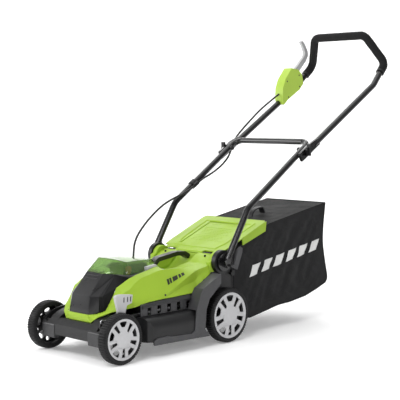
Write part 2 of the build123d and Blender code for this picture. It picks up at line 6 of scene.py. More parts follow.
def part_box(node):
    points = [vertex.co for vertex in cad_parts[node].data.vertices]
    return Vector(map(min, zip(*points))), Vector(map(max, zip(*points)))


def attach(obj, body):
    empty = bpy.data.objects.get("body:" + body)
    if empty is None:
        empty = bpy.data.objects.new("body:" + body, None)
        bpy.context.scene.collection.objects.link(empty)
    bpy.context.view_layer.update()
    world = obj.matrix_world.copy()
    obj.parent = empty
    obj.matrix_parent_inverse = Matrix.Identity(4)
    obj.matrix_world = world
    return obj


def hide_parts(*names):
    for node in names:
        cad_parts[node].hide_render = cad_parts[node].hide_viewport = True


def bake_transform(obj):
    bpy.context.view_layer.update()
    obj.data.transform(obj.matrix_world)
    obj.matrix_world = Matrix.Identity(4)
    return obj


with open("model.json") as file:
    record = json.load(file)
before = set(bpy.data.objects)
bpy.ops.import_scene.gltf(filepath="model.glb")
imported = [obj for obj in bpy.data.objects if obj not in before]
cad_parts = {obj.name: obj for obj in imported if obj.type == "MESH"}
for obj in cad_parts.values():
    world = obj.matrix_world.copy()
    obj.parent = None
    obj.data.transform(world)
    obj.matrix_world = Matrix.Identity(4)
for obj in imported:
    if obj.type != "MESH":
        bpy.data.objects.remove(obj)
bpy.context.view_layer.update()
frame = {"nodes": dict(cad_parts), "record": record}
N = frame["nodes"]
REC = frame["record"]

# the layout's Y = 0 is at the front axle: the front tyre's middle
_lo, _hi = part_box("front_left_tyre")
Y0 = (_lo.y + _hi.y) / 2


def P(x, y, z):
    """layout millimetres to the row frame in metres"""
    return Vector((x / 1000.0, y / 1000.0 + Y0, z / 1000.0))


# ------------------------------------------------------------------ materials
def new_mat(name):
    m = bpy.data.materials.new(name)
    m.use_nodes = True
    nt = m.node_tree
    for n in list(nt.nodes):
        nt.nodes.remove(n)
    out = nt.nodes.new("ShaderNodeOutputMaterial")
    b = nt.nodes.new("ShaderNodeBsdfPrincipled")
    nt.links.new(b.outputs[0], out.inputs[0])
    return m, nt, b


def tex_coord(nt):
    c = nt.nodes.new("ShaderNodeTexCoord")
    return c.outputs["Object"]


def noise_tex(nt, vec, scale, detail=4.0, rough=0.55):
    n = nt.nodes.new("ShaderNodeTexNoise")
    n.inputs["Scale"].default_value = scale
    n.inputs["Detail"].default_value = detail
    n.inputs["Roughness"].default_value = rough
    nt.links.new(vec, n.inputs["Vector"])
    return n.outputs["Fac"]


def ramp(nt, fac, stops):
    r = nt.nodes.new("ShaderNodeValToRGB")
    el = r.color_ramp.elements
    el[0].position, el[0].color = stops[0][0], (*stops[0][1], 1)
    el[1].position, el[1].color = stops[-1][0], (*stops[-1][1], 1)
    for p, c in stops[1:-1]:
        e = el.new(p)
        e.color = (*c, 1)
    nt.links.new(fac, r.inputs["Fac"])
    return r.outputs["Color"]


def mapr(nt, fac, a, b, lo=0.3, hi=0.7):
    r = nt.nodes.new("ShaderNodeMapRange")
    r.inputs["From Min"].default_value = lo
    r.inputs["From Max"].default_value = hi
    r.inputs["To Min"].default_value = a
    r.inputs["To Max"].default_value = b
    nt.links.new(fac, r.inputs["Value"])
    return r.outputs["Result"]


def bump(nt, height, strength, dist, normal=None):
    b = nt.nodes.new("ShaderNodeBump")
    b.inputs["Strength"].default_value = strength
    b.inputs["Distance"].default_value = dist
    nt.links.new(height, b.inputs["Height"])
    if normal is not None:
        nt.links.new(normal, b.inputs["Normal"])
    return b.outputs["Normal"]


def plastic(name, col, var=0.08, rough=(0.35, 0.5), grain=900.0, gb=0.15, coat=0.0, spec=0.5, scuff=0.0):
    m, nt, b = new_mat(name)
    v = tex_coord(nt)
    n1 = noise_tex(nt, v, 6.0, 3.0)
    c0 = tuple(max(0.0, c * (1 - var)) for c in col)
    c1 = tuple(min(1.0, c * (1 + var)) for c in col)
    colr = ramp(nt, n1, [(0.3, c0), (0.5, col), (0.72, c1)])
    if scuff > 0:
        # faint rubbed marks, mostly along edges
        g = nt.nodes.new("ShaderNodeNewGeometry")
        pr = mapr(nt, g.outputs["Pointiness"], 0.0, 1.0, 0.52, 0.60)
        n3 = noise_tex(nt, v, 60.0, 5.0)
        mul = nt.nodes.new("ShaderNodeMath")
        mul.operation = "MULTIPLY"
        nt.links.new(pr, mul.inputs[0])
        nt.links.new(mapr(nt, n3, 0.0, scuff, 0.45, 0.7), mul.inputs[1])
        mix = nt.nodes.new("ShaderNodeMix")
        mix.data_type = "RGBA"
        nt.links.new(mul.outputs[0], mix.inputs["Factor"])
        nt.links.new(colr, mix.inputs["A"])
        mix.inputs["B"].default_value = tuple(min(1, c * 1.6 + 0.06) for c in col) + (1,)
        colr = mix.outputs["Result"]
    nt.links.new(colr, b.inputs["Base Color"])
    n2 = noise_tex(nt, v, 35.0, 4.0)
    nt.links.new(mapr(nt, n2, rough[0], rough[1]), b.inputs["Roughness"])
    n4 = noise_tex(nt, v, grain, 2.0)
    nt.links.new(bump(nt, n4, gb, 0.0004), b.inputs["Normal"])
    b.inputs["Coat Weight"].default_value = coat
    b.inputs["Coat Roughness"].default_value = 0.12
    b.inputs["Specular IOR Level"].default_value = spec
    return m


GREEN = (0.315, 0.480, 0.038)
M = {}
M["green_plastic"] = plastic("green_moulded", GREEN, 0.04, (0.34, 0.44), 1400, 0.05, 0.0, 0.22, 0.05)
M["black_plastic"] = plastic("black_moulded", (0.0095, 0.0095, 0.0102), 0.15, (0.36, 0.48), 1100, 0.14, 0.0, 0.38, 0.06)
M["cowl_plastic"] = plastic("cowl_moulded", (0.0100, 0.0100, 0.0108), 0.12, (0.27, 0.36), 1300, 0.06, 0.0, 0.45, 0.04)
M["grey_plastic"] = plastic("grey_moulded", (0.050, 0.050, 0.053), 0.10, (0.40, 0.52), 1100, 0.14, 0.0, 0.45, 0.08)
M["grey_dark"] = plastic("dark_grey_moulded", (0.026, 0.026, 0.0275), 0.10, (0.38, 0.5), 1100, 0.14, 0.0, 0.45, 0.08)
M["light_grey_plastic"] = plastic("light_grey_moulded", (0.47, 0.47, 0.475), 0.05, (0.38, 0.5), 1300, 0.08, 0.0, 0.5, 0.1)
M["silver_plastic"] = plastic("silver_moulded", (0.50, 0.50, 0.51), 0.04, (0.32, 0.42), 1500, 0.05, 0.10, 0.5, 0.1)
M["key_orange"] = plastic("orange_moulded", (0.85, 0.22, 0.03), 0.08, (0.35, 0.5), 1300, 0.08)
M["box_green"] = plastic("box_green", (0.42, 0.60, 0.085), 0.04, (0.34, 0.44), 1400, 0.05, 0.0, 0.25, 0.05)
# a darker copy of the black plastic for the nose cowl's side facets: painted shade
M["cowl_side_painted_shade"] = plastic("cowl_side_painted_shade", (0.0045, 0.0045, 0.0048), 0.12, (0.5, 0.62), 1200, 0.10, 0.0, 0.2, 0.0)
M["battery_green"] = plastic("battery_green", (0.10, 0.17, 0.04), 0.08, (0.38, 0.5), 1300, 0.1)
M["print_dark"] = plastic("print_dark", (0.03, 0.035, 0.02), 0.08, (0.45, 0.6), 900, 0.08, 0.0, 0.3)
M["cable_jacket"] = plastic("cable_sheath", (0.008, 0.008, 0.0085), 0.15, (0.4, 0.52), 700, 0.1)


def rubber(name, col, grain, gb, rough):
    m, nt, b = new_mat(name)
    v = tex_coord(nt)
    n1 = noise_tex(nt, v, 14.0, 5.0)
    colr = ramp(nt, n1, [(0.28, tuple(c * 0.78 for c in col)), (0.5, col), (0.75, tuple(c * 1.35 for c in col))])
    # dust that settles in the rough parts
    n2 = noise_tex(nt, v, 180.0, 6.0, 0.7)
    mix = nt.nodes.new("ShaderNodeMix")
    mix.data_type = "RGBA"
    nt.links.new(mapr(nt, n2, 0.0, 0.22, 0.5, 0.75), mix.inputs["Factor"])
    nt.links.new(colr, mix.inputs["A"])
    mix.inputs["B"].default_value = (0.045, 0.044, 0.043, 1)
    nt.links.new(mix.outputs["Result"], b.inputs["Base Color"])
    nt.links.new(mapr(nt, n1, rough[0], rough[1]), b.inputs["Roughness"])
    b.inputs["Specular IOR Level"].default_value = 0.25
    n4 = noise_tex(nt, v, grain, 4.0, 0.65)
    nt.links.new(bump(nt, n4, gb, 0.0006), b.inputs["Normal"])
    return m


M["tyre_rubber"] = rubber("tyre_rubber", (0.0112, 0.0112, 0.0118), 420, 0.3, (0.52, 0.7))
M["foam"] = rubber("foam_sleeve", (0.0075, 0.0075, 0.008), 900, 0.5, (0.66, 0.84))


def metal(name, col, metallic, rough, grain=(1.0, 1.0, 1.0), gs=200, gb=0.05, coat=0.0):
    m, nt, b = new_mat(name)
    v = tex_coord(nt)
    mp = nt.nodes.new("ShaderNodeMapping")
    mp.inputs["Scale"].default_value = grain
    nt.links.new(v, mp.inputs["Vector"])
    n1 = noise_tex(nt, mp.outputs[0], gs, 4.0)
    nt.links.new(ramp(nt, n1, [(0.3, tuple(c * 0.85 for c in col)), (0.7, tuple(min(1, c * 1.12) for c in col))]), b.inputs["Base Color"])
    n2 = noise_tex(nt, v, 30.0, 4.0)
    nt.links.new(mapr(nt, n2, rough[0], rough[1]), b.inputs["Roughness"])
    b.inputs["Metallic"].default_value = metallic
    b.inputs["Coat Weight"].default_value = coat
    b.inputs["Coat Roughness"].default_value = 0.1
    nt.links.new(bump(nt, n1, gb, 0.0003), b.inputs["Normal"])
    return m


M["black_steel"] = metal("black_powder_coat", (0.004, 0.004, 0.0043), 0.0, (0.16, 0.24), gs=900, gb=0.06, coat=0.2)
M["bright_steel"] = metal("zinc_plate", (0.52, 0.52, 0.54), 1.0, (0.28, 0.42), (1, 1, 1), 120, 0.05)
M["screw_dark"] = metal("blackened_screw", (0.05, 0.05, 0.05), 0.8, (0.35, 0.5), (1, 1, 1), 300, 0.1)
M["blade_steel"] = metal("ground_steel", (0.30, 0.30, 0.31), 1.0, (0.3, 0.45), (0.2, 4, 1), 260, 0.12)
M["motor_metal"] = metal("cast_alloy", (0.45, 0.45, 0.47), 1.0, (0.4, 0.55), (1, 1, 1), 320, 0.2)


def fabric(name, col, weave=1500.0, sheen=0.25, bstr=0.35):
    m, nt, b = new_mat(name)
    v = tex_coord(nt)
    n1 = noise_tex(nt, v, 9.0, 4.0)
    waves = []
    for rot in ((0.0, 0.0, 0.0), (0.0, 0.0, math.pi / 2), (0.0, math.pi / 2, 0.0)):
        mp = nt.nodes.new("ShaderNodeMapping")
        mp.inputs["Rotation"].default_value = rot
        nt.links.new(v, mp.inputs["Vector"])
        w = nt.nodes.new("ShaderNodeTexWave")
        w.inputs["Scale"].default_value = weave / 6.2832
        w.inputs["Distortion"].default_value = 0.6
        w.inputs["Detail"].default_value = 1.0
        nt.links.new(mp.outputs[0], w.inputs["Vector"])
        waves.append(w.outputs["Fac"])
    a = nt.nodes.new("ShaderNodeMath")
    a.operation = "ADD"
    nt.links.new(waves[0], a.inputs[0])
    nt.links.new(waves[1], a.inputs[1])
    a2 = nt.nodes.new("ShaderNodeMath")
    a2.operation = "ADD"
    nt.links.new(a.outputs[0], a2.inputs[0])
    nt.links.new(waves[2], a2.inputs[1])
    mid = ramp(nt, n1, [(0.3, tuple(c * 0.8 for c in col)), (0.7, tuple(c * 1.25 for c in col))])
    mix = nt.nodes.new("ShaderNodeMix")
    mix.data_type = "RGBA"
    mix.blend_type = "MULTIPLY"
    mix.inputs["Factor"].default_value = 1.0
    nt.links.new(mid, mix.inputs["A"])
    nt.links.new(ramp(nt, mapr(nt, a2.outputs[0], 0.0, 1.0, 0.6, 2.4), [(0.0, (0.7, 0.7, 0.7)), (1.0, (1.25, 1.25, 1.25))]), mix.inputs["B"])
    nt.links.new(mix.outputs["Result"], b.inputs["Base Color"])
    nt.links.new(mapr(nt, n1, 0.62, 0.8), b.inputs["Roughness"])
    b.inputs["Specular IOR Level"].default_value = 0.12
    b.inputs["Sheen Weight"].default_value = sheen
    b.inputs["Sheen Roughness"].default_value = 0.5
    nt.links.new(bump(nt, a2.outputs[0], bstr, 0.0002), b.inputs["Normal"])
    return m


M["bag_fabric"] = fabric("bag_weave", (0.0125, 0.0125, 0.0132), 1500.0, 0.08, 0.22)
M["bag_mesh"] = fabric("bag_net", (0.0098, 0.0096, 0.0094), 900.0, 0.05, 0.4)
M["bag_binding"] = fabric("bag_binding", (0.0075, 0.0075, 0.008), 2200.0, 0.05, 0.3)


def clear_green():
    m, nt, b = new_mat("tinted_clear")
    v = tex_coord(nt)
    n1 = noise_tex(nt, v, 8.0, 3.0)
    nt.links.new(ramp(nt, n1, [(0.3, (0.38, 0.56, 0.22)), (0.7, (0.46, 0.66, 0.28))]), b.inputs["Base Color"])
    nt.links.new(mapr(nt, noise_tex(nt, v, 40.0, 4.0), 0.05, 0.12), b.inputs["Roughness"])
    b.inputs["IOR"].default_value = 1.45
    b.inputs["Transmission Weight"].default_value = 0.88
    nt.links.new(bump(nt, noise_tex(nt, v, 30.0, 2.0), 0.03, 0.0005), b.inputs["Normal"])
    return m


M["clear_green"] = clear_green()
M["print_white"] = plastic("print_white", (0.72, 0.72, 0.71), 0.06, (0.5, 0.65), 900, 0.1, 0.0, 0.3)
M["print_dark"] = plastic("print_dark", (0.03, 0.035, 0.02), 0.08, (0.45, 0.6), 900, 0.08, 0.0, 0.3)


# ------------------------------------------------------------------ mesh tools
def link(name, me, mat, body=None, replaces=(), slot=None, smooth=30.0):
    ob = bpy.data.objects.new(name, me)
    bpy.context.scene.collection.objects.link(ob)
    if mat is not None:
        for mm in (mat if isinstance(mat, (list, tuple)) else [mat]):
            me.materials.append(mm)
    if smooth is not None and len(me.polygons):
        me.shade_smooth()
        me.set_sharp_from_angle(angle=math.radians(smooth))
    if body:
        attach(ob, body)
    if replaces:
        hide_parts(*replaces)
    return ob


def from_bm(name, bm, *a, **k):
    bmesh.ops.recalc_face_normals(bm, faces=bm.faces[:])
    me = bpy.data.meshes.new(name)
    bm.to_mesh(me)
    bm.free()
    return link(name, me, *a, **k)


def mod(ob, kind, name=None, **k):
    m = ob.modifiers.new(name or kind.title(), kind)
    for a, b in k.items():
        setattr(m, a, b)
    return m


def bevel(ob, w=0.8, seg=2, ang=32, weld=False):
    if weld:
        mod(ob, "WELD", merge_threshold=0.00001)
    return mod(ob, "BEVEL", width=w / 1000, segments=seg, limit_method="ANGLE", angle_limit=math.radians(ang), harden_normals=False)


def apply_mods(ob):
    dg = bpy.context.evaluated_depsgraph_get()
    me = bpy.data.meshes.new_from_object(ob.evaluated_get(dg), preserve_all_data_layers=True, depsgraph=dg)
    ob.modifiers.clear()
    old = ob.data
    ob.data = me
    return ob


def cr(p0, p1, p2, p3, t):
    return 0.5 * ((2 * p1) + (-p0 + p2) * t + (2 * p0 - 5 * p1 + 4 * p2 - p3) * t * t + (-p0 + 3 * p1 - 3 * p2 + p3) * t ** 3)


def refine(g, n, axis, sharp=()):
    """Catmull-Rom refinement of a grid of points along an axis; sharp holds the indexes where the line may turn a corner."""
    g = np.asarray(g, float)
    if axis == 1:
        return refine(g.transpose(1, 0, 2), n, 0, sharp).transpose(1, 0, 2)
    rows = g.shape[0]
    cuts = sorted({0, rows - 1, *sharp})
    out = []
    for a, b in zip(cuts, cuts[1:]):
        for i in range(a, b):
            p1, p2 = g[i], g[i + 1]
            p0 = g[i - 1] if i > a else 2 * p1 - p2
            p3 = g[i + 2] if i + 2 <= b else 2 * p2 - p1
            for k in range(n):
                out.append(cr(p0, p1, p2, p3, k / n))
    out.append(g[-1])
    return np.array(out)


def grid_bm(g, bm=None, close_u=False, close_v=False, flip=False):
    bm = bm or bmesh.new()
    g = np.asarray(g)
    nu, nv = g.shape[:2]
    vs = [[bm.verts.new(P(*g[i, j])) for j in range(nv)] for i in range(nu)]
    for i in range(nu if close_u else nu - 1):
        for j in range(nv if close_v else nv - 1):
            q = [vs[i][j], vs[(i + 1) % nu][j], vs[(i + 1) % nu][(j + 1) % nv], vs[i][(j + 1) % nv]]
            if flip:
                q = q[::-1]
            u = []
            for v in q:
                if v not in u:
                    u.append(v)
            if len(u) > 2:
                try:
                    bm.faces.new(u)
                except ValueError:
                    pass
    return bm


def mirror_bm(bm):
    geom = bm.verts[:] + bm.edges[:] + bm.faces[:]
    r = bmesh.ops.duplicate(bm, geom=geom)
    nv = [e for e in r["geom"] if isinstance(e, bmesh.types.BMVert)]
    for v in nv:
        v.co.x = -v.co.x
    nf = [e for e in r["geom"] if isinstance(e, bmesh.types.BMFace)]
    bmesh.ops.reverse_faces(bm, faces=nf)
    bmesh.ops.remove_doubles(bm, verts=bm.verts[:], dist=0.00005)
    return bm


def extrude_x(pts, x0, x1, bm=None):
    """closed (y, z) outline as a prism"""
    bm = bm or bmesh.new()
    a = [bm.verts.new(P(x0, y, z)) for y, z in pts]
    b = [bm.verts.new(P(x1, y, z)) for y, z in pts]
    bm.faces.new(a)
    bm.faces.new(b[::-1])
    n = len(pts)
    for i in range(n):
        bm.faces.new([a[i], b[i], b[(i + 1) % n], a[(i + 1) % n]])
    return bm


def rounded(pts, r, n=5):
    """round the corners of a closed 2-D outline by radius r"""
    out = []
    m = len(pts)
    rr = r if isinstance(r, (list, tuple)) else [r] * m
    for i in range(m):
        p = np.array(pts[i], float)
        a = np.array(pts[i - 1], float) - p
        b = np.array(pts[(i + 1) % m], float) - p
        la, lb = np.linalg.norm(a), np.linalg.norm(b)
        d = min(rr[i], la * 0.45, lb * 0.45)
        if d <= 0.01:
            out.append(tuple(p))
            continue
        s, e = p + a / la * d, p + b / lb * d
        for k in range(n + 1):
            t = k / n
            q = (1 - t) ** 2 * s + 2 * (1 - t) * t * p + t * t * e
            out.append(tuple(q))
    return out


def revolve_x(prof, cx_sign, cy, cz, n=96, bm=None, close=True, rfun=None):
    """prof: (x, r) closed outline turned about the X axis through (cy, cz)"""
    bm = bm or bmesh.new()
    rows = []
    for k in range(n):
        a = 2 * math.pi * k / n
        row = []
        for x, r in prof:
            rr = rfun(x, r, a) if rfun else r
            row.append(bm.verts.new(P(cx_sign * x, cy + rr * math.cos(a), cz + rr * math.sin(a))))
        rows.append(row)
    m = len(prof)
    for k in range(n):
        for j in range(m if close else m - 1):
            q = [rows[k][j], rows[(k + 1) % n][j], rows[(k + 1) % n][(j + 1) % m], rows[k][(j + 1) % m]]
            bm.faces.new(q if cx_sign > 0 else q[::-1])
    return bm


# ------------------------------------------------------------------ CAD nodes: finish and softened edges
SLOT = {s["node"]: s["material_slot"] for s in REC["subparts"]}
# flap_hinge_pin takes the dark screw finish so that it reads as the shadow line at the flap's hinge: painted shade
SPECIAL = {"nose_cowl": "cowl_plastic", "front_axle_crank": "screw_dark", "flap_hinge_pin": "screw_dark", "carry_handle": "cowl_plastic", "switch_box": "box_green",
           "battery_pack": "battery_green", "hood_screws": "screw_dark"}
BEV = {"deck_shell": 4.0, "rear_housing": 2.5, "side_rail_left": 1.6, "side_rail_right": 1.6, "side_vents": 1.0,
       "switch_box": 3.0, "bail_lever": 2.2, "height_lever_grip": 1.8, "rear_flap": 1.4, "carry_handle": 4.0,
       "pivot_boss_left": 3.0, "pivot_boss_right": 3.0, "battery_pack": 2.0, "bag_handle": 2.0, "cam_lever_left": 1.6,
       "cam_lever_right": 1.6, "wing_knob_left": 1.6, "wing_knob_right": 1.6, "lid_latch": 1.2, "start_button": 1.4,
       "cable_clip": 1.0, "safety_key": 1.0}
for n, ob in N.items():
    me = ob.data
    me.materials.clear()
    me.materials.append(M[SPECIAL.get(n, SLOT[n])])
    w = BEV.get(n, 0.6)
    if n in ("foam_grip", "cable_upper", "cable_lower"):
        continue
    bevel(ob, w, 3 if w > 1.5 else 2, 28, weld=True)
    wn = ob.modifiers.new("Normals", "WEIGHTED_NORMAL")
    wn.keep_sharp = False

# ------------------------------------------------------------------ hood
def disc_yz(cy, cz, r, n=20):
    return [(cy + r * math.cos(2 * math.pi * k / n), cz + r * math.sin(2 * math.pi * k / n)) for k in range(n)]


ST = [
    (-20, (58, 111), (57, 115), (56, 118), (52, 126), (46, 133)),
    (-10, (80, 129.5), (78, 129.8), (76, 130), (70, 131), (62, 133.5)),
    (5, (95, 137), (93.5, 137.5), (92, 138), (84, 139), (71.5, 138.5)),
    (19.6, (109, 144), (106, 146), (103, 147.5), (92, 148.5), (80, 144.6)),
    (45, (128, 150), (126, 154), (124, 158), (108, 181), (83, 184.5)),
    (60.4, (134, 152), (132.5, 157), (131, 161), (115, 197), (82, 209)),
    (80, (139.5, 154), (138, 160.5), (136.5, 167), (119, 206), (89, 222)),
    (101, (143.5, 158.5), (142, 165), (140.5, 172), (117, 220), (94.5, 235)),
    (120, (146, 163), (144.8, 169), (143.5, 175), (115.5, 229.5), (98.5, 242)),
    (137, (148, 165.5), (146.8, 171), (145.5, 177), (115, 235.5), (98.5, 246)),
    (170, (150, 167.5), (148.8, 173), (147.5, 178), (115, 242.5), (97, 252)),
    (198, (151, 169), (149.8, 174), (148.5, 179), (115, 249), (93, 257.5)),
    (206, (151, 169.1), (148.5, 175), (148.3, 181.5), (115, 250), (91.5, 259)),
    (220, (151, 169.3), (146.5, 177.5), (147.5, 186), (115, 250.8), (88, 261)),
    (232, (151, 169.6), (144.5, 180), (146.8, 191), (114, 250.5), (93, 248)),
    (243, (151, 170), (143, 183), (146, 196), (113, 250), (91, 243.5)),
    (272, (151, 171), (139.5, 190), (143.5, 209), (110.5, 248), (88, 240.5)),
    (286, (151, 171.5), (138, 194), (142.3, 215), (109, 247), (87, 240.5)),
    (302, (151, 172), (136.5, 198), (141, 222), (108, 246.5), (86, 241)),
    (331, (151, 173), (134.5, 203), (138.5, 234), (105, 246.5), (84, 242)),
    (343, (151, 174), (134.5, 207), (137.5, 238), (104, 247), (83, 243)),
    (360, (150, 205), (139, 224), (136.5, 241.5), (104, 249), (81, 244)),
    (395, (147, 223), (139, 235), (134, 246), (101, 253), (76, 250)),
    (407, (139.5, 226), (134, 240), (130, 250), (98, 259), (70, 258)),
    (430, (139.5, 262), (132, 264), (126, 266), (98, 270), (60, 272)),
    (446, (139, 270), (131, 272), (124, 274), (98, 277), (60, 278)),
]
SUB = 4


def stations(st):
    return np.array([[(x, y, z) for x, z in row] for y, *row in st], float)


def row_at(y):
    return [i for i, s in enumerate(ST) if s[0] == y][0]


K2 = row_at(302)
G1 = refine(refine(stations(ST), SUB, 0, sharp=tuple(row_at(y) for y in (-10, 19.6, 60.4, 101, 137, 198, 220, 232, 302, 343, 360, 407))), 4, 1, sharp=(1, 2, 3))
k0 = [i for i, s in enumerate(ST) if s[0] == 286][0]
# the scoop under the carry handle: top edge, rim, foot of the wall, centre
RC = {286: ((50, 241), (46, 236), (43, 230), (0, 230)),
      302: ((50, 239), (45, 226), (42, 216), (0, 214)),
      331: ((50, 240), (45, 226), (42, 216), (0, 214)),
      343: ((50, 241), (45, 226), (42, 216), (0, 214)),
      360: ((50, 246), (45, 228), (42, 216), (0, 214)),
      395: ((50, 252), (45, 234), (42, 221), (0, 219)),
      407: ((50, 259), (45, 243), (42, 228), (0, 226)),
      430: ((49, 273), (46, 262), (42, 246), (0, 243)),
      446: ((48, 278.5), (46, 277), (42, 275), (0, 275))}
rec_rows = []
for y, *row in ST[k0:]:
    rec_rows.append([(row[4][0], y, row[4][1])] + [(x, y, z) for x, z in RC[y]])
G2 = refine(refine(np.array(rec_rows, float), SUB, 0, sharp=(K2 - k0,)), 3, 1, sharp=(1,))
# the shared line is taken from the side's grid
G2[:, 0] = G1[k0 * SUB:, -1]
# between the lid's back edge and the scoop
br = []
for t, (y, zc) in enumerate(((272, 246), (279, 245), (286, 230))):
    i = int(round((k0 - 1) * SUB + t * SUB / 2))
    top = G1[i, -1]
    a = np.array([50, y, (top[2] + zc) / 2 + 1.0]) if t < 2 else G2[0, 3]
    b = np.array([0, y, zc]) if t < 2 else G2[0, -1]
    br.append([top, a, b])
hb = grid_bm(G1)
grid_bm(G2, hb)
grid_bm(refine(np.array(br), 2, 0)[:, :, :], hb)
# front strip over the bumper
fs = []
for z, x, yy in ((111, 58, -20), (118, 56, -20), (126, 52, -20), (133, 46, -20)):
    row = []
    for k in range(7):
        t = k / 6
        row.append((x * (1 - t), yy - 2.0 * math.sin(t * math.pi / 2), z))
    fs.append(row)
grid_bm(np.array(fs), hb)
# shelf between the band and the nose
grid_bm(np.array([[(0, -22, 133), (46, -20, 133), (62, -10, 133.5), (71.5, 5, 138.5), (80, 19.6, 144.6)],
                  [(0, -15, 133), (44, -13.5, 133), (63, 4, 135.5), (68, 9, 139), (78, 21, 145)]], float), hb)
hood_ob_bm = mirror_bm(hb)
hood = from_bm("hood_cover", hood_ob_bm, M["green_plastic"], smooth=17)
mod(hood, "SOLIDIFY", thickness=0.0026, offset=-1.0, use_even_offset=False)
bevel(hood, 0.7, 2, 50)

# ears that carry the pivots, and the panel at the flap's hinge
eb = bmesh.new()
ear = [(404, 226), (404, 258)] + [(447 + 33 * math.cos(a), 257 + 31 * math.sin(a)) for a in np.linspace(math.radians(165), math.radians(-8), 22)] + [(476, 232), (470, 226)]
extrude_x(ear, 121.0, 139.4, eb)
ears = from_bm("hood_ears", mirror_bm(eb), M["green_plastic"], smooth=40)
bevel(ears, 2.2, 3, 40)

pb = grid_bm(np.array([[(x * s, y, z) for s in (1.0, 0.66, 0.33, 0.0)] for x, y, z in ((121, 446, 277.5), (121, 449.5, 276.5), (121, 451, 270), (121, 451, 262))]))
grid_bm(np.array([[(x, y, z) for x in (63.0, 92.0, 120.5)] for y, z in ((444, 276.6), (449, 276.4), (460, 276.0), (470, 272.0), (474, 262.0))]), pb)
panel = from_bm("hood_back_edge", mirror_bm(pb), M["green_plastic"], smooth=40)
mod(panel, "SOLIDIFY", thickness=0.0025, offset=0.0)

# five dark printed bars along the hood's side, laid on its surface
def on_hood(fy, fv):
    i = min(max(fy, 0), G1.shape[0] - 1.001)
    j = min(max(fv, 0), G1.shape[1] - 1.001)
    a, b = int(i), int(j)
    u, v = i - a, j - b
    return (G1[a, b] * (1 - u) * (1 - v) + G1[a + 1, b] * u * (1 - v) + G1[a, b + 1] * (1 - u) * v + G1[a + 1, b + 1] * u * v)


mk = bmesh.new()
ia, ib = row_at(220) * SUB, row_at(302) * SUB
for k in range(5):
    f0 = ia + 0.4 + k * (ib - ia) / 5.0
    f1 = f0 + (ib - ia) / 5.0 - 1.0
    vs = []
    for a in range(4):
        row = []
        for c in range(4):
            q = on_hood(f0 + (f1 - f0) * a / 3 + 0.5 * c / 3, 9.2 + 1.0 * c / 3)
            row.append(mk.verts.new(P(q[0] + 0.45, q[1], q[2] + 0.25)))
        vs.append(row)
    for a in range(3):
        for c in range(3):
            mk.faces.new([vs[a][c], vs[a + 1][c], vs[a + 1][c + 1], vs[a][c + 1]])
marks = from_bm("hood_marks", mirror_bm(mk), M["print_dark"], smooth=50)
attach(marks, "deck")
hs = bmesh.new()
extrude_x(disc_yz(199.6, 178.6, 3.2), 146.6, 149.4, hs)
hscrew = from_bm("hood_side_screws", mirror_bm(hs), M["screw_dark"], smooth=30)
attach(hscrew, "deck")
for o in (hood,):
    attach(o, "deck")
    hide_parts("hood")
for o in (ears, panel):
    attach(o, "deck")

# corner blocks of the front bumper, and the ledge over the side vents
bb = bmesh.new()
for q in ([(-49.8, 50), (-49.8, 90), (-44, 95.5), (-30, 96), (-30, 50)],):
    extrude_x(rounded(q, 2.0, 2), 79, 137.5, bb)
blocks = from_bm("bumper_blocks", mirror_bm(bb), M["grey_dark"], smooth=40)
bevel(blocks, 2.0, 3, 40)
lg = bmesh.new()
rows = []
for y, zt, w in ((104, 160.5, 5.0), (118, 162, 7.5), (160, 165.5, 8.0), (166, 166, 11.5), (250, 169.5, 12.0), (296, 171, 12.0), (302, 171, 10.0)):
    rows.append([(146.0, y, zt), (147.5 + w * 0.55, y, zt - 1.5), (148.0 + w, y, zt - 10.5), (147.6 + w, y, zt - 13.0), (145.0, y, zt - 14.5)])
grid_bm(refine(np.array(rows, float), 2, 0, sharp=(1, 2, 3, 5)), lg)
e0 = rows[0]
lgv = mirror_bm(lg)
ledge = from_bm("vent_ledge", lgv, M["grey_dark"], smooth=30)
mod(ledge, "SOLIDIFY", thickness=0.0016, offset=-1.0)
bevel(ledge, 0.8, 2, 40)
for o in (blocks, ledge):
    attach(o, "deck")

# ------------------------------------------------------------------ nose cowl
cb = bmesh.new()
front = []
for z, x, yy, c in ((131.5, 46, -16, 1.5), (150, 43.5, -12.5, 1.6), (168, 42.7, -10, 1.7), (186, 42, -7.5, 1.6), (207, 40.3, 10.3, 1.4), (228, 38.7, 28.2, 1.2), (248.5, 37, 45.6, 1.0)):
    front.append([(x * math.cos(t), yy - c * math.sin(t), z) for t in np.linspace(0, math.pi / 2, 7)])
grid_bm(np.array(front), cb)
# flat facets beside the nose
def facet(*pts):
    vs = [cb.verts.new(P(*q)) for q in pts]
    cb.faces.new(vs)


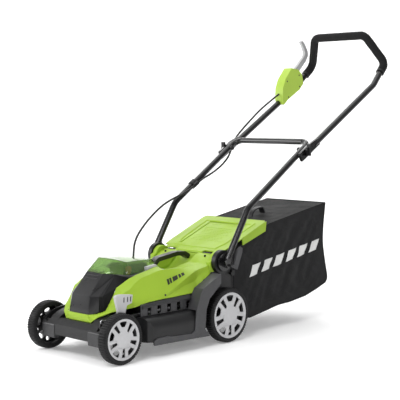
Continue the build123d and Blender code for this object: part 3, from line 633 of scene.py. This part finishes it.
n0, n1, n2, n3 = (42, -7.5, 186), (61, 72, 247), (37, 45.6, 248.5), (64, 8, 186)
n4, n5 = (46, -16, 131.5), (66, 5, 133.5)
e2, e3, e4 = (80, 19.6, 144.6), (82, 60.4, 209), (94.5, 101, 235)
facet(n0, n1, n2)
facet(n4, n5, n3, n0)
facet(n0, n3, (59.6, 71, 243.5))
facet((59.6, 71, 243.5), n1, n0)
facet(n5, (71.5, 5, 138), e2, (67.5, 20, 186))
facet(n5, (67.5, 20, 186), n3)
facet((67.5, 20, 186), e2, e3)
facet((67.5, 20, 186), e3, (63, 70, 240))
facet(n3, (67.5, 20, 186), (63, 70, 240), (59.6, 71, 243.5))
facet((63, 70, 240), e3, e4, n1, (59.6, 71, 243.5))
led = np.array([
    [(61, 72, 247), (78, 86, 241.5), (94.5, 101, 235)],
    [(73, 88.5, 245), (86, 100, 241.5), (98, 112, 240)],
    [(85, 105, 243), (92, 113, 242), (98.5, 120, 242)],
    [(86, 135, 245.2), (92.5, 136, 245.5), (98.5, 137, 246)],
    [(85, 162, 248), (91, 166, 250), (97, 170, 252)],
    [(80, 190, 251.5), (86.5, 193.5, 255), (93, 197.5, 257.5)],
    [(70, 212, 255), (79, 216, 258.5), (88, 220, 261)],
    [(58, 232, 258), (73, 236, 252), (91.5, 239, 245.5)],
    [(44, 248, 260), (64, 254, 248), (89, 262, 241.5)],
    [(30, 262, 259), (54, 268, 246), (88, 272, 240.5)],
])
grid_bm(refine(led, 3, 0, sharp=(2, 6)), cb)
cowl = from_bm("nose_cover", mirror_bm(cb), [M["cowl_plastic"], M["cowl_side_painted_shade"]], smooth=12)
# the cowl's side facets beside the nose take the darker copy: painted shade
for f in cowl.data.polygons:
    c = f.center
    if abs(c.x) > 0.0665 and c.y < Y0 + 0.082 and f.normal.z < 0.8:
        f.material_index = 1
mod(cowl, "SOLIDIFY", thickness=0.0026, offset=-1.0)
bevel(cowl, 0.5, 2, 45)
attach(cowl, "deck")
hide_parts("nose_cowl")
# two moulded ribs below the lid
rb = bmesh.new()
for zz, hw in ((240.5, 26), (232.5, 27)):
    yy = 45.6 + (zz - 248.5) * 0.852
    nrm = (-0.761, 0.648)
    pts = []
    for k in range(9):
        t = k / 8 * 2 - 1
        pts.append((hw * t, yy - 1.0 * math.cos(t * 0.7) - 0.2, zz))
    for a, b in zip(pts, pts[1:]):
        q = []
        for (x, y, z) in (a, b):
            q.append([(x, y + nrm[0] * 0.9, z + nrm[1] * 0.9 + 1.1), (x, y + nrm[0] * 0.9, z + nrm[1] * 0.9 - 1.1), (x, y + 1.2, z - 2.0), (x, y + 1.2, z + 2.0)])
        vs = [[rb.verts.new(P(*p)) for p in qq] for qq in q]
        for j in range(4):
            rb.faces.new([vs[0][j], vs[1][j], vs[1][(j + 1) % 4], vs[0][(j + 1) % 4]])
bmesh.ops.remove_doubles(rb, verts=rb.verts[:], dist=0.00001)
ribs = from_bm("nose_ribs", rb, M["cowl_plastic"], smooth=30)
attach(ribs, "deck")

# ------------------------------------------------------------------ battery lid
lb = bmesh.new()
edge = [(0, 44.6, 249.4), (37, 46, 249.4), (61, 72, 247.6), (85, 105, 243.8), (86, 135, 245.8), (85, 162, 248.3), (80, 190, 252.3), (70, 212, 255.8), (58, 232, 258.6), (46, 248, 260.4), (36, 260, 260.5), (0, 262, 260.5)]
should = [(0, 92, 288.4), (36, 93, 288), (52, 102, 285), (70, 112, 280), (70, 135, 281), (68, 165, 281), (65, 190, 280), (60, 212, 279), (53, 230, 277.5), (44, 244, 275), (34, 254, 272), (0, 257, 272)]
mid_ = []
for e, s in zip(edge, should):
    e, s = np.array(e, float), np.array(s, float)
    m1 = e * 0.5 + s * 0.5
    if e[0] > 60:
        m1[0] += 2.0
    mid_.append(m1)
g = np.array([[e, m, s] for e, m, s in zip(edge, mid_, should)], float)
grid_bm(refine(g, 3, 0, sharp=(1, 3, 9, 10)), lb)
sh = refine(np.array(should, float)[:, None, :], 3, 0, sharp=(1, 3, 9, 10))[:, 0]
top = []
for x, y, z in sh:
    row = [(x, y, z)]
    for t in (0.8, 0.5, 0.0):
        crest = 288.4 - 0.00006 * (y - 92) ** 2 * 9
        row.append((x * t, y, z + (crest - z) * (1 - t ** 2) if y > 93 else z))
    top.append(row)
grid_bm(np.array(top), lb)
lid = from_bm("lid_cover", mirror_bm(lb), M["clear_green"], smooth=24)
mod(lid, "SOLIDIFY", thickness=0.0024, offset=-1.0)
bevel(lid, 0.6, 2, 40)
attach(lid, "battery_lid")
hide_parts("battery_lid")

# ------------------------------------------------------------------ small parts
def piece(name, polys, mat, body, mirror=False, bv=0.5, seg=2, replaces=(), smooth=30):
    """prisms along x: (outline, x0, x1)"""
    b = bmesh.new()
    for q, x0, x1 in polys:
        extrude_x(q, x0, x1, b)
    if mirror:
        mirror_bm(b)
    o = from_bm(name, b, M[mat], smooth=smooth)
    if bv:
        bevel(o, bv, seg, 35)
    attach(o, body)
    if replaces:
        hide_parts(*replaces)
    return o


def disc(cy, cz, r, n=24):
    return [(cy + r * math.cos(2 * math.pi * k / n), cz + r * math.sin(2 * math.pi * k / n)) for k in range(n)]


# black boxes at the bottom of the height lever's slots: painted shade in the slots
piece("lever_slot_painted_shade", [([(y - 1.7, 177.6), (y + 3.7, 177.6), (y + 3.7, 192.4), (y - 1.7, 192.4)], 153.0, 154.1) for y in (25, 39, 51)], "black_plastic", "front_axle", bv=0.2)
# screws of the switch box, set flush in its inner cover
piece("switch_box_screws", [(disc(y, z, 3.1), -156.0, -154.6) for y, z in ((1131, 852), (1201, 877), (1204, 834), (1139, 793))], "screw_dark", "upper_handle", bv=0.4)
# bail lever: a broad blade with a hooked tip
blade = [(1184, 880), (1190, 872.5), (1202, 874), (1228, 891.5), (1270, 933), (1284, 955), (1282, 972), (1265, 999), (1252, 1011), (1243, 1011.5), (1239, 1004), (1249, 995), (1262, 972), (1265, 962), (1258, 951), (1246, 940), (1216, 911), (1194, 894)]
bl_ob = piece("bail_blade", [(rounded(blade, 5.0, 4), -190.0, -178.0)], "light_grey_plastic", "bail_lever", bv=1.6, seg=3, replaces=("bail_lever",))
# hinge boss of the bail
piece("bail_boss", [(disc(1194, 882, 7.8, 32), -190.4, -172.2)], "light_grey_plastic", "bail_lever", bv=0.8)

# the flap: raised frame round the tray, thin raised lines in it, and its corners beside the pivots
FDY, FDZ = 0.92553, 0.37870
FH = (452.6, 278.0)


def flp(x, t, h):
    return (x, FH[0] + FDY * t - FDZ * h, FH[1] + FDZ * t + FDY * h)


def flap_prism(bm, plan, h0, h1):
    a = [bm.verts.new(P(*flp(x, t, h0))) for x, t in plan]
    b = [bm.verts.new(P(*flp(x, t, h1))) for x, t in plan]
    bm.faces.new(a)
    bm.faces.new(b[::-1])
    n = len(plan)
    for k in range(n):
        bm.faces.new([a[k], b[k], b[(k + 1) % n], a[(k + 1) % n]])


fb_ = bmesh.new()
corner = [(99, 5), (119.5, 5), (119.5, 22), (137.5, 24), (141.5, 60), (141.5, 118), (123, 54), (103, 12)]
flap_prism(fb_, corner, 0.3, 3.9)
flap_prism(fb_, [(-x, t) for x, t in corner], 0.3, 3.9)
fcorn = from_bm("flap_corners", fb_, M["green_plastic"], smooth=30)
bevel(fcorn, 0.8, 2, 40)
fb2 = bmesh.new()
# stepped frame
o_ = [(96, 22), (110, 60), (117, 214), (-117, 214), (-110, 60), (-96, 22)]
i_ = [(84, 39), (98, 68), (104, 205), (-104, 205), (-98, 68), (-84, 39)]
i2 = [(82, 42), (95, 70), (100, 201), (-100, 201), (-95, 70), (-82, 42)]
vo = [fb2.verts.new(P(*flp(x, t, 3.9))) for x, t in o_]
vo2 = [fb2.verts.new(P(*flp(x * 0.975, t + (2.5 if t < 100 else -2.5), 6.4))) for x, t in o_]
vi = [fb2.verts.new(P(*flp(x, t, 6.4))) for x, t in i_]
vi2 = [fb2.verts.new(P(*flp(x, t, 3.6))) for x, t in i2]
for k in range(6):
    m = (k + 1) % 6
    fb2.faces.new([vo[k], vo[m], vo2[m], vo2[k]])
    fb2.faces.new([vo2[k], vo2[m], vi[m], vi[k]])
    fb2.faces.new([vi[k], vi[m], vi2[m], vi2[k]])
ffr = from_bm("flap_frame", fb2, M["green_plastic"], smooth=30)
bevel(ffr, 0.7, 2, 20)
fb3 = bmesh.new()
rnd = random.Random(5)
for r, t in enumerate((150, 140, 130, 120, 106, 96, 86, 76)):
    x = -66.0
    while x < 58:
        w = rnd.uniform(8, 22)
        flap_prism(fb3, [(x, t), (x + w, t), (x + w, t + 3.2), (x, t + 3.2)], 1.9, 2.5)
        x += w + rnd.uniform(2.5, 6)
flap_prism(fb3, [(-72, 162), (72, 162), (72, 165), (-72, 165)], 1.9, 2.8)
flap_prism(fb3, [(-62, 185), (-30, 185), (-24, 192), (-56, 192)], 1.9, 2.6)
flap_prism(fb3, [(30, 185), (62, 185), (56, 192), (24, 192)], 1.9, 2.6)
fln = from_bm("flap_lines", fb3, M["green_plastic"], smooth=30)
for o in (fcorn, ffr, fln):
    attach(o, "rear_flap")

# ------------------------------------------------------------------ wheels
def wheel(tag, sx, cy, cz, R, rim):
    x0, x1 = 151.2, 184.0
    # tyre: ribbed tread, rounded shoulders, plain side walls
    w = x1 - x0
    prof = [(x0, rim - 1.0), (x0, R - 7), (x0 + 0.7, R - 3.6), (x0 + 2.6, R - 1.4), (x0 + 5.5, R - 0.3), (x0 + w * 0.36, R), (x0 + w * 0.5, R), (x0 + w * 0.64, R),
            (x1 - 5.5, R - 0.3), (x1 - 2.6, R - 1.4), (x1 - 0.7, R - 3.6), (x1, R - 7), (x1 - 0.4, rim + 3.0), (x1 - 1.2, rim - 1.0)]
    nrib = 60 if R < 80 else 70
    n = nrib * 6

    def rfun(x, r, a):
        if r < R - 4.5 or x < x0 + 1:
            return r
        ph = (a / (2 * math.pi) * nrib) % 1.0
        s = 1.0 if ph < 0.60 else 0.0
        return r - (0.0 if s else 2.3)

    b = revolve_x(prof, sx, cy, cz, n, rfun=rfun)
    ty = from_bm(tag + "_tread", b, M["tyre_rubber"], smooth=35)
    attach(ty, tag + "_wheel")
    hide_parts(tag + "_tyre")
    # cap: a disc with ten windows inside a thin ring
    cu = bpy.data.curves.new(tag + "_disc", "CURVE")
    cu.dimensions = "2D"
    cu.fill_mode = "BOTH"
    cu.extrude = 0.0013
    cu.bevel_depth = 0.0006
    cu.bevel_resolution = 2
    cu.resolution_u = 1

    def loop(pts):
        s = cu.splines.new("POLY")
        s.points.add(len(pts) - 1)
        for i, (u, v) in enumerate(pts):
            s.points[i].co = (u / 1000, v / 1000, 0, 1)
        s.use_cyclic_u = True

    ro = rim - 1.8
    loop([(ro * math.cos(a), ro * math.sin(a)) for a in np.linspace(0, 2 * math.pi, 128, endpoint=False)])
    for k in range(5):
        a0 = math.radians(90 + 72 * k)
        # wide windows, curved on the outside
        ws, wo = rim * 0.60, rim * 0.885
        ang = 0.265
        pts = [(ws, -rim * 0.075), (ws, rim * 0.075)]
        q = [(wo * math.cos(t), wo * math.sin(t)) for t in np.linspace(ang, -ang, 11)]
        pts = [(rim * 0.60, rim * 0.125), (rim * 0.76, rim * 0.215)] + q + [(rim * 0.76, -rim * 0.215), (rim * 0.60, -rim * 0.125)]
        pts = rounded(pts, rim * 0.03, 3)
        loop([(u * math.cos(a0) - v * math.sin(a0), u * math.sin(a0) + v * math.cos(a0)) for u, v in pts])
        a1 = a0 + math.radians(36)
        pts = rounded([(rim * 0.42, rim * 0.075), (rim * 0.87, rim * 0.125), (rim * 0.87, -rim * 0.125), (rim * 0.42, -rim * 0.075)], rim * 0.025, 3)
        loop([(u * math.cos(a1) - v * math.sin(a1), u * math.sin(a1) + v * math.cos(a1)) for u, v in pts])
    ob = bpy.data.objects.new(tag + "_disc", cu)
    bpy.context.scene.collection.objects.link(ob)
    dg = bpy.context.evaluated_depsgraph_get()
    me = bpy.data.meshes.new_from_object(ob.evaluated_get(dg))
    bpy.data.objects.remove(ob)
    # stand the disc up at the wheel's outer side
    c = P(sx * (x1 - 1.4), cy, cz)
    for v in me.vertices:
        u, w2, d = v.co
        r = math.hypot(u, w2)
        dish = -0.0022 * max(0.0, min(1.0, (r * 1000 - rim * 0.42) / (rim * 0.5))) * max(0.0, min(1.0, (rim * 0.98 - r * 1000) / (rim * 0.10)))
        v.co = (c.x + sx * (d + dish), c.y + u, c.z + w2)
    bb = bmesh.new()
    bb.from_mesh(me)
    # thin outer ring and a shallow centre boss
    xr = x1 - 1.4
    revolve_x([(xr - 2.4, rim - 4.6), (xr + 1.2, rim - 4.4), (xr + 1.9, rim - 3.4), (xr + 1.9, rim - 1.6), (xr + 1.0, rim - 0.6), (xr - 2.4, rim - 0.6)], sx, cy, cz, 128, bb)
    revolve_x([(xr + 0.5, 0.001), (xr + 2.6, 0.001), (xr + 2.5, rim * 0.16), (xr + 2.0, rim * 0.24), (xr + 1.9, rim * 0.36), (xr + 1.2, rim * 0.42), (xr - 1.0, rim * 0.42)], sx, cy, cz, 96, bb, close=False)
    bmesh.ops.recalc_face_normals(bb, faces=bb.faces[:])
    me2 = bpy.data.meshes.new(tag + "_cap")
    bb.to_mesh(me2)
    bb.free()
    cap = link(tag + "_cap", me2, M["silver_plastic"], smooth=30)
    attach(cap, tag + "_wheel")
    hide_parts(tag + "_hubcap")


wheel("front_left", 1, 0.0, 75.0, 75.0, 61.4)
wheel("front_right", -1, 0.0, 75.0, 75.0, 61.4)
wheel("rear_left", 1, 452.5, 87.5, 87.5, 73.8)
wheel("rear_right", -1, 452.5, 87.5, 87.5, 73.8)

# ------------------------------------------------------------------ grass bag
def poly_line(pts, n, smooth=False):
    pts = [np.array(p, float) for p in pts]
    if smooth and len(pts) > 2:
        pts = list(refine(np.array(pts)[:, None, :], 8, 0)[:, 0])
    d = [0.0]
    for a, b in zip(pts, pts[1:]):
        d.append(d[-1] + float(np.linalg.norm(b - a)))
    out = []
    for k in range(n):
        t = d[-1] * k / (n - 1)
        j = max(i for i in range(len(d)) if d[i] <= t + 1e-9)
        j = min(j, len(pts) - 2)
        f = (t - d[j]) / max(1e-9, d[j + 1] - d[j])
        out.append(pts[j] * (1 - f) + pts[j + 1] * f)
    return np.array(out)


NU, NV, NX = 84, 48, 46
HB = 136.5
bot = poly_line([(514, 70), (560, 60), (598, 56), (658, 66), (741, 81), (804, 84), (886, 95), (948, 112), (1000, 130)], NU)
topc = poly_line([(514, 284), (594, 318), (675, 352), (692, 360), (845, 388), (995, 415)], NU)
frontc = poly_line([(514, 70), (514, 284)], NV)
rear = poly_line([(1000, 130), (1009, 150), (996, 205), (983, 270), (984, 330), (995, 415)], NV, True)
rear[0], rear[-1] = bot[-1], topc[-1]
frontc[0], frontc[-1] = bot[0], topc[0]


def side_yz(i, j):
    u, v = i / (NU - 1), j / (NV - 1)
    a = (1 - v) * bot[i] + v * topc[i]
    b = (1 - u) * frontc[j] + u * rear[j]
    c = (1 - u) * (1 - v) * bot[0] + u * (1 - v) * bot[-1] + (1 - u) * v * topc[0] + u * v * topc[-1]
    return a + b - c


def fold(y, z, seed):
    """wrinkles that run from the upper front to the lower back, with a few that hang from the top seam"""
    s = 0.0
    a = math.radians(-38)
    p, q = y * math.cos(a) + z * math.sin(a), -y * math.sin(a) + z * math.cos(a)
    s += 3.6 * noise.noise(Vector((p / 130.0, q / 26.0, seed)))
    b = math.radians(62)
    p, q = y * math.cos(b) + z * math.sin(b), -y * math.sin(b) + z * math.cos(b)
    s += 2.6 * noise.noise(Vector((p / 150.0, q / 24.0, seed + 7)))
    s += 0.9 * noise.noise(Vector((y / 26.0, z / 30.0, seed + 13)))
    return s


gb = bmesh.new()
sideL, sideR = [], []
for i in range(NU):
    rl, rr = [], []
    for j in range(NV):
        y, z = side_yz(i, j)
        u, v = i / (NU - 1), j / (NV - 1)
        e = min(1.0, 5 * u, 5 * (1 - u), 5 * v, 5 * (1 - v))
        e = e * e * (3 - 2 * e)
        sag = -3.2 * math.sin(math.pi * u) * math.sin(math.pi * v ** 0.8)
        rl.append((HB + e * (sag + fold(y, z, 3.1)), y, z))
        rr.append((-HB - e * (sag + fold(y, z, 21.7)), y, z))
    sideL.append(rl)
    sideR.append(rr)
grid_bm(np.array(sideL), gb)
grid_bm(np.array(sideR), gb, flip=True)


def across(line, nrm_z, sag, seed):
    rows = []
    n = len(line)
    for i in range(n):
        y, z = line[i]
        row = []
        for k in range(NX):
            t = k / (NX - 1)
            x = HB * (1 - 2 * t)
            u = i / (n - 1)
            e = min(1.0, 6 * u, 6 * (1 - u), 6 * t, 6 * (1 - t))
            e = e * e * (3 - 2 * e)
            h = sag * math.sin(math.pi * t) * math.sin(math.pi * u)
            h += e * 1.8 * noise.noise(Vector((x / 90.0, y / 30.0, seed))) + e * 1.1 * noise.noise(Vector((x / 30.0, y / 60.0 + z / 60.0, seed + 4)))
            if nrm_z == 0:
                row.append((x, y + h, z))
            else:
                row.append((x, y, z + nrm_z * h))
        rows.append(row)
    return np.array(rows)


topg = across(topc, 1, -5.5, 5.5)
grid_bm(topg, gb)
grid_bm(across(bot, -1, 6.0, 9.5), gb, flip=True)
grid_bm(across(rear, 0, 3.0, 15.5), gb, flip=True)
bmesh.ops.remove_doubles(gb, verts=gb.verts[:], dist=0.00002)
bmesh.ops.recalc_face_normals(gb, faces=gb.faces[:])
ntop = set()
me = bpy.data.meshes.new("bag_shell")
gb.to_mesh(me)
gb.free()
bag = link("bag_shell", me, [M["bag_fabric"], M["bag_mesh"]], smooth=50)
for p in me.polygons:
    if p.normal.z > 0.8 and abs(p.center.x) < 0.1366:
        p.material_index = 1
mod(bag, "SOLIDIFY", thickness=0.0014, offset=-1.0)
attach(bag, "bag")
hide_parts("bag_fabric")


def tube_curve(name, pts, r, mat, body, cyclic=False, res=10, kind="POLY", caps=True):
    cu = bpy.data.curves.new(name, "CURVE")
    cu.dimensions = "3D"
    cu.bevel_depth = r
    cu.bevel_resolution = 4
    cu.use_fill_caps = caps
    cu.resolution_u = res
    s = cu.splines.new(kind)
    s.points.add(len(pts) - 1)
    for i, p in enumerate(pts):
        s.points[i].co = (*p, 1)
    s.use_cyclic_u = cyclic
    if kind == "NURBS":
        s.order_u = 3
        s.use_endpoint_u = True
    ob = bpy.data.objects.new(name, cu)
    bpy.context.scene.collection.objects.link(ob)
    dg = bpy.context.evaluated_depsgraph_get()
    me = bpy.data.meshes.new_from_object(ob.evaluated_get(dg))
    path = None
    if kind == "NURBS":
        cu.bevel_depth = 0.0
        dg.update()
        bpy.context.view_layer.update()
        dg = bpy.context.evaluated_depsgraph_get()
        lm = bpy.data.meshes.new_from_object(ob.evaluated_get(dg))
        path = [tuple(v.co) for v in lm.vertices]
        bpy.data.meshes.remove(lm)
    bpy.data.objects.remove(ob)
    o = link(name, me, mat, smooth=40)
    if body:
        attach(o, body)
    return o, path


# a plain graphic on each side: a row of slanted bars
gL = np.array(sideL)
gR = np.array(sideR)


def bar(bm, grid, sx, quad, n=7, m=9):
    """a patch that lies on the fabric: quad holds four (y, z) corners"""
    (a, b, c, d) = [np.array(q, float) for q in quad]
    pts = grid.reshape(-1, 3)
    vs = []
    for i in range(n + 1):
        row = []
        for j in range(m + 1):
            u, v = i / n, j / m
            y, z = (1 - u) * ((1 - v) * a + v * d) + u * ((1 - v) * b + v * c)
            dd = (pts[:, 1] - y) ** 2 + (pts[:, 2] - z) ** 2
            k = np.argsort(dd)[:4]
            w = 1.0 / (dd[k] + 0.5)
            x = float((pts[k, 0] * w).sum() / w.sum())
            row.append(bm.verts.new(P(x + sx * 0.7, y, z)))
        vs.append(row)
    for i in range(n):
        for j in range(m):
            bm.faces.new([vs[i][j], vs[i + 1][j], vs[i + 1][j + 1], vs[i][j + 1]])


gm = bmesh.new()
for grid, sx in ((gL, 1), (gR, -1)):
    for k in range(6):
        y0 = 594 + k * 62
        zb = 190 + k * 10.9
        bar(gm, grid, sx, ((y0, zb), (y0 + 40, zb + 7), (y0 + 58, zb + 45), (y0 + 18, zb + 38)))
gra = from_bm("bag_graphic", gm, M["print_white"], smooth=60)
mod(gra, "SOLIDIFY", thickness=0.0004, offset=1.0)
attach(gra, "bag")

# binding along the seams
def seam(name, pts):
    o, _ = tube_curve(name, [P(*p) for p in pts], 0.0019, M["bag_binding"], "bag")
    return o


for sx, t in ((1, "left"), (-1, "right")):
    hb = HB * sx
    seam("bag_seam_top_" + t, [(hb, y, z) for y, z in topc])
    seam("bag_seam_back_" + t, [(hb, y, z) for y, z in rear])
    seam("bag_seam_bottom_" + t, [(hb, y, z) for y, z in bot])
seam("bag_seam_rear_top", [(x, topc[-1][0], topc[-1][1]) for x in np.linspace(-HB, HB, 12)])
seam("bag_seam_front_top", [(x, topc[0][0] + 0.5, topc[0][1]) for x in np.linspace(-HB, HB, 12)])

# low carrying strap on the bag's top
st = []
for y, z, w in ((746, 370.5, 12), (750, 380, 11.5), (757, 390, 11), (770, 397.5, 10.5), (790, 402, 10.5), (803, 401.5, 11), (810, 395, 11.5), (815, 382.5, 12)):
    st.append((y, z, w))
sb_ = bmesh.new()
rows = []
for k, (y, z, w) in enumerate(st):
    a = st[max(k - 1, 0)]
    b = st[min(k + 1, len(st) - 1)]
    d = np.array([b[0] - a[0], b[1] - a[1]], float)
    d /= np.linalg.norm(d)
    nrm = np.array([-d[1], d[0]])
    ring = [(w * sx2, y + nrm[0] * hh, z + nrm[1] * hh) for sx2, hh in ((-1, -2.2), (-0.9, 1.6), (0, 2.6), (0.9, 1.6), (1, -2.2), (0, -2.8))]
    rows.append(ring)
grid_bm(refine(np.array(rows, float), 4, 0), sb_, close_v=True)
strap = from_bm("bag_strap", sb_, M["black_plastic"], smooth=40)
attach(strap, "bag")
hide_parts("bag_handle")

# ------------------------------------------------------------------ foam over the grip loop
def fillet_path(pts, radii, n=10):
    V = [Vector(p) for p in pts]
    out = [V[0]]
    for i in range(1, len(V) - 1):
        a, b = (V[i - 1] - V[i]).normalized(), (V[i + 1] - V[i]).normalized()
        ang = a.angle(b)
        d = radii[i - 1] / math.tan(ang / 2)
        s, e = V[i] + a * d, V[i] + b * d
        c = V[i] + (a + b).normalized() * (radii[i - 1] / math.sin(ang / 2))
        u, w = s - c, e - c
        th = u.angle(w)
        for k in range(n + 1):
            t = k / n
            out.append(c + (u * math.sin((1 - t) * th) + w * math.sin(t * th)) / math.sin(th))
    out.append(V[-1])
    return out


def upz(y):
    return 577 + (y - 796) * (869 - 577) / (1272 - 796)


hp = [(-181.5, 1215, upz(1215)), (-170.2, 1302, 916), (-116, 1247, 1018), (116, 1247, 1018), (170.2, 1302, 916), (181.5, 1215, upz(1215))]
H = [Vector(p) for p in hp]
f0 = H[1] + (H[0] - H[1]).normalized() * 52
f1 = H[4] + (H[5] - H[4]).normalized() * 52
fp = fillet_path([f0, H[1], H[2], H[3], H[4], f1], [32, 30, 30, 32], 12)
# more points along the straight runs, so that the sleeve keeps its surface
dense = [fp[0]]
for a, b in zip(fp, fp[1:]):
    k = max(1, int((b - a).length / 8))
    for i in range(1, k + 1):
        dense.append(a.lerp(b, i / k))
foam, _ = tube_curve("grip_foam", [P(*p) for p in dense], 0.0154, M["foam"], None)
for v in foam.data.vertices:
    # the sleeve is very slightly uneven
    s = noise.noise(v.co * 60.0) * 0.0003
    v.co += Vector((s, s, s))
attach(foam, "upper_handle")
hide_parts("foam_grip")
# plastic end rings of the sleeve
for p, q, t in ((dense[0], dense[1], "right"), (dense[-1], dense[-2], "left")):
    d = (q - p).normalized()
    tube_curve("grip_ring_" + t, [P(*(p - d * 2)), P(*(p + d * 5))], 0.0157, M["black_plastic"], "upper_handle")

# ------------------------------------------------------------------ control cable
CU = [(-174, 1102.5, 803.5), (-175, 1066, 783), (-180, 1008, 747), (-186, 955, 705), (-194, 915, 668), (-199.5, 886, 638), (-195, 864, 603),
      (-186, 838, 573), (-176, 797, 548), (-167, 752, 528), (-159, 706, 512), (-155.6, 672, 502), (-155.5, 636, 481.7)]
CL = [(-155.5, 636, 481.7), (-155.4, 600, 461.4), (-154, 550, 447), (-150, 478, 424), (-140, 408, 386), (-125, 346, 345), (-108, 307, 314), (-94, 288, 282), (-90, 284, 252)]
cab_u, path_u = tube_curve("control_cable_upper", [P(*p) for p in CU], 0.0035, M["cable_jacket"], None, kind="NURBS", res=16)
cab_l, path_l = tube_curve("control_cable_lower", [P(*p) for p in CL[::-1]], 0.0035, M["cable_jacket"], None, kind="NURBS", res=16)


def plen(path):
    return sum((Vector(a) - Vector(b)).length for a, b in zip(path, path[1:]))


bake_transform(cab_u)
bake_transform(cab_l)
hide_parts("cable_upper")
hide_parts("cable_lower")
print("cable lengths", plen(path_u), plen(path_l))

# ------------------------------------------------------------------ stage, light, camera
fl = bpy.data.meshes.new("floor")
vd = Vector((-0.70, 0.714, 0)).normalized()      # away from the camera
sd = Vector((vd.y, -vd.x, 0))
prof = [(-9.0, 0.0), (3.2, 0.0)]
for k in range(1, 17):
    a = math.pi / 2 * k / 16
    prof.append((3.2 + 3.0 * math.sin(a), 3.0 - 3.0 * math.cos(a)))
prof.append((6.2, 9.0))
fv, ff = [], []
for d, z in prof:
    for s_ in (-12, 12):
        q = vd * d + sd * s_
        fv.append((q.x, q.y, z))
for k in range(len(prof) - 1):
    ff.append((2 * k, 2 * k + 1, 2 * k + 3, 2 * k + 2))
fl.from_pydata(fv, [], ff)
fm, fnt, fb = new_mat("floor_paper")
fb.inputs["Base Color"].default_value = (0.90, 0.90, 0.90, 1)
fb.inputs["Roughness"].default_value = 0.8
fb.inputs["Specular IOR Level"].default_value = 0.1
fb.inputs["Emission Color"].default_value = (1.0, 1.0, 1.0, 1)
fb.inputs["Emission Strength"].default_value = 0.22
floor = link("floor", fl, fm, smooth=60)
floor.location.z = -0.0008

W = bpy.data.worlds.new("studio")
bpy.context.scene.world = W
W.use_nodes = True
wt = W.node_tree
bgn = wt.nodes["Background"]
# dim room with a bright ceiling
wc = wt.nodes.new("ShaderNodeTexCoord")
ws = wt.nodes.new("ShaderNodeSeparateXYZ")
wt.links.new(wc.outputs["Generated"], ws.inputs[0])
wr = wt.nodes.new("ShaderNodeValToRGB")
wr.color_ramp.elements[0].position = 0.0
wr.color_ramp.elements[0].color = (0.34, 0.34, 0.35, 1)
wr.color_ramp.elements[1].position = 0.75
wr.color_ramp.elements[1].color = (1.0, 1.0, 1.0, 1)
wt.links.new(ws.outputs["Z"], wr.inputs["Fac"])
wd = wt.nodes.new("ShaderNodeVectorMath")
wd.operation = "DOT_PRODUCT"
wt.links.new(wc.outputs["Generated"], wd.inputs[0])
wd.inputs[1].default_value = (0.78, -0.60, 0.18)
wm = wt.nodes.new("ShaderNodeMapRange")
wm.interpolation_type = "SMOOTHSTEP"
wm.inputs["From Min"].default_value = 0.25
wm.inputs["From Max"].default_value = 0.95
wm.inputs["To Min"].default_value = 1.0
wm.inputs["To Max"].default_value = 0.22
wt.links.new(wd.outputs["Value"], wm.inputs["Value"])
wx = wt.nodes.new("ShaderNodeVectorMath")
wx.operation = "SCALE"
wt.links.new(wr.outputs["Color"], wx.inputs[0])
wt.links.new(wm.outputs["Result"], wx.inputs["Scale"])
wt.links.new(wx.outputs["Vector"], bgn.inputs[0])
bgn.inputs[1].default_value = 0.66


def area(name, loc, target, size, power, color=(1, 1, 1)):
    ld = bpy.data.lights.new(name, "AREA")
    ld.shape = "RECTANGLE"
    ld.size, ld.size_y = size
    ld.energy = power
    ld.color = color
    lo = bpy.data.objects.new(name, ld)
    bpy.context.scene.collection.objects.link(lo)
    lo.location = loc
    lo.rotation_euler = (Vector(target) - Vector(loc)).to_track_quat("-Z", "Y").to_euler()
    return lo


area("key", (1.2, -2.9, 2.7), (0, 0, 0.2), (1.5, 1.0), 62)
area("front left", (-2.6, -2.6, 1.5), (0, -0.4, 0.2), (1.6, 1.6), 55)
area("top", (-0.6, 0.4, 3.4), (0, 0.1, 0.2), (2.6, 2.6), 36)
area("side", (3.1, -1.3, 1.7), (0, 0.1, 0.3), (0.9, 0.9), 17)
area("backdrop", (-3.2, 3.0, 4.6), (-3.9, 4.2, 1.0), (5.0, 1.2), 150)

cam_data = bpy.data.cameras.new("camera")
cam_data.lens = 98.21
cam_data.sensor_width = 36.0
cam = bpy.data.objects.new("camera", cam_data)
bpy.context.scene.collection.objects.link(cam)
cam.location = (2.5288, -2.0694 + Y0, 0.7232)
cam.rotation_euler = (Vector((0, 0.5008 + Y0, 0.444)) - cam.location).to_track_quat("-Z", "Y").to_euler()
bpy.context.scene.camera = cam
bpy.context.scene.view_settings.view_transform = "Standard"

bpy.context.view_layer.update()
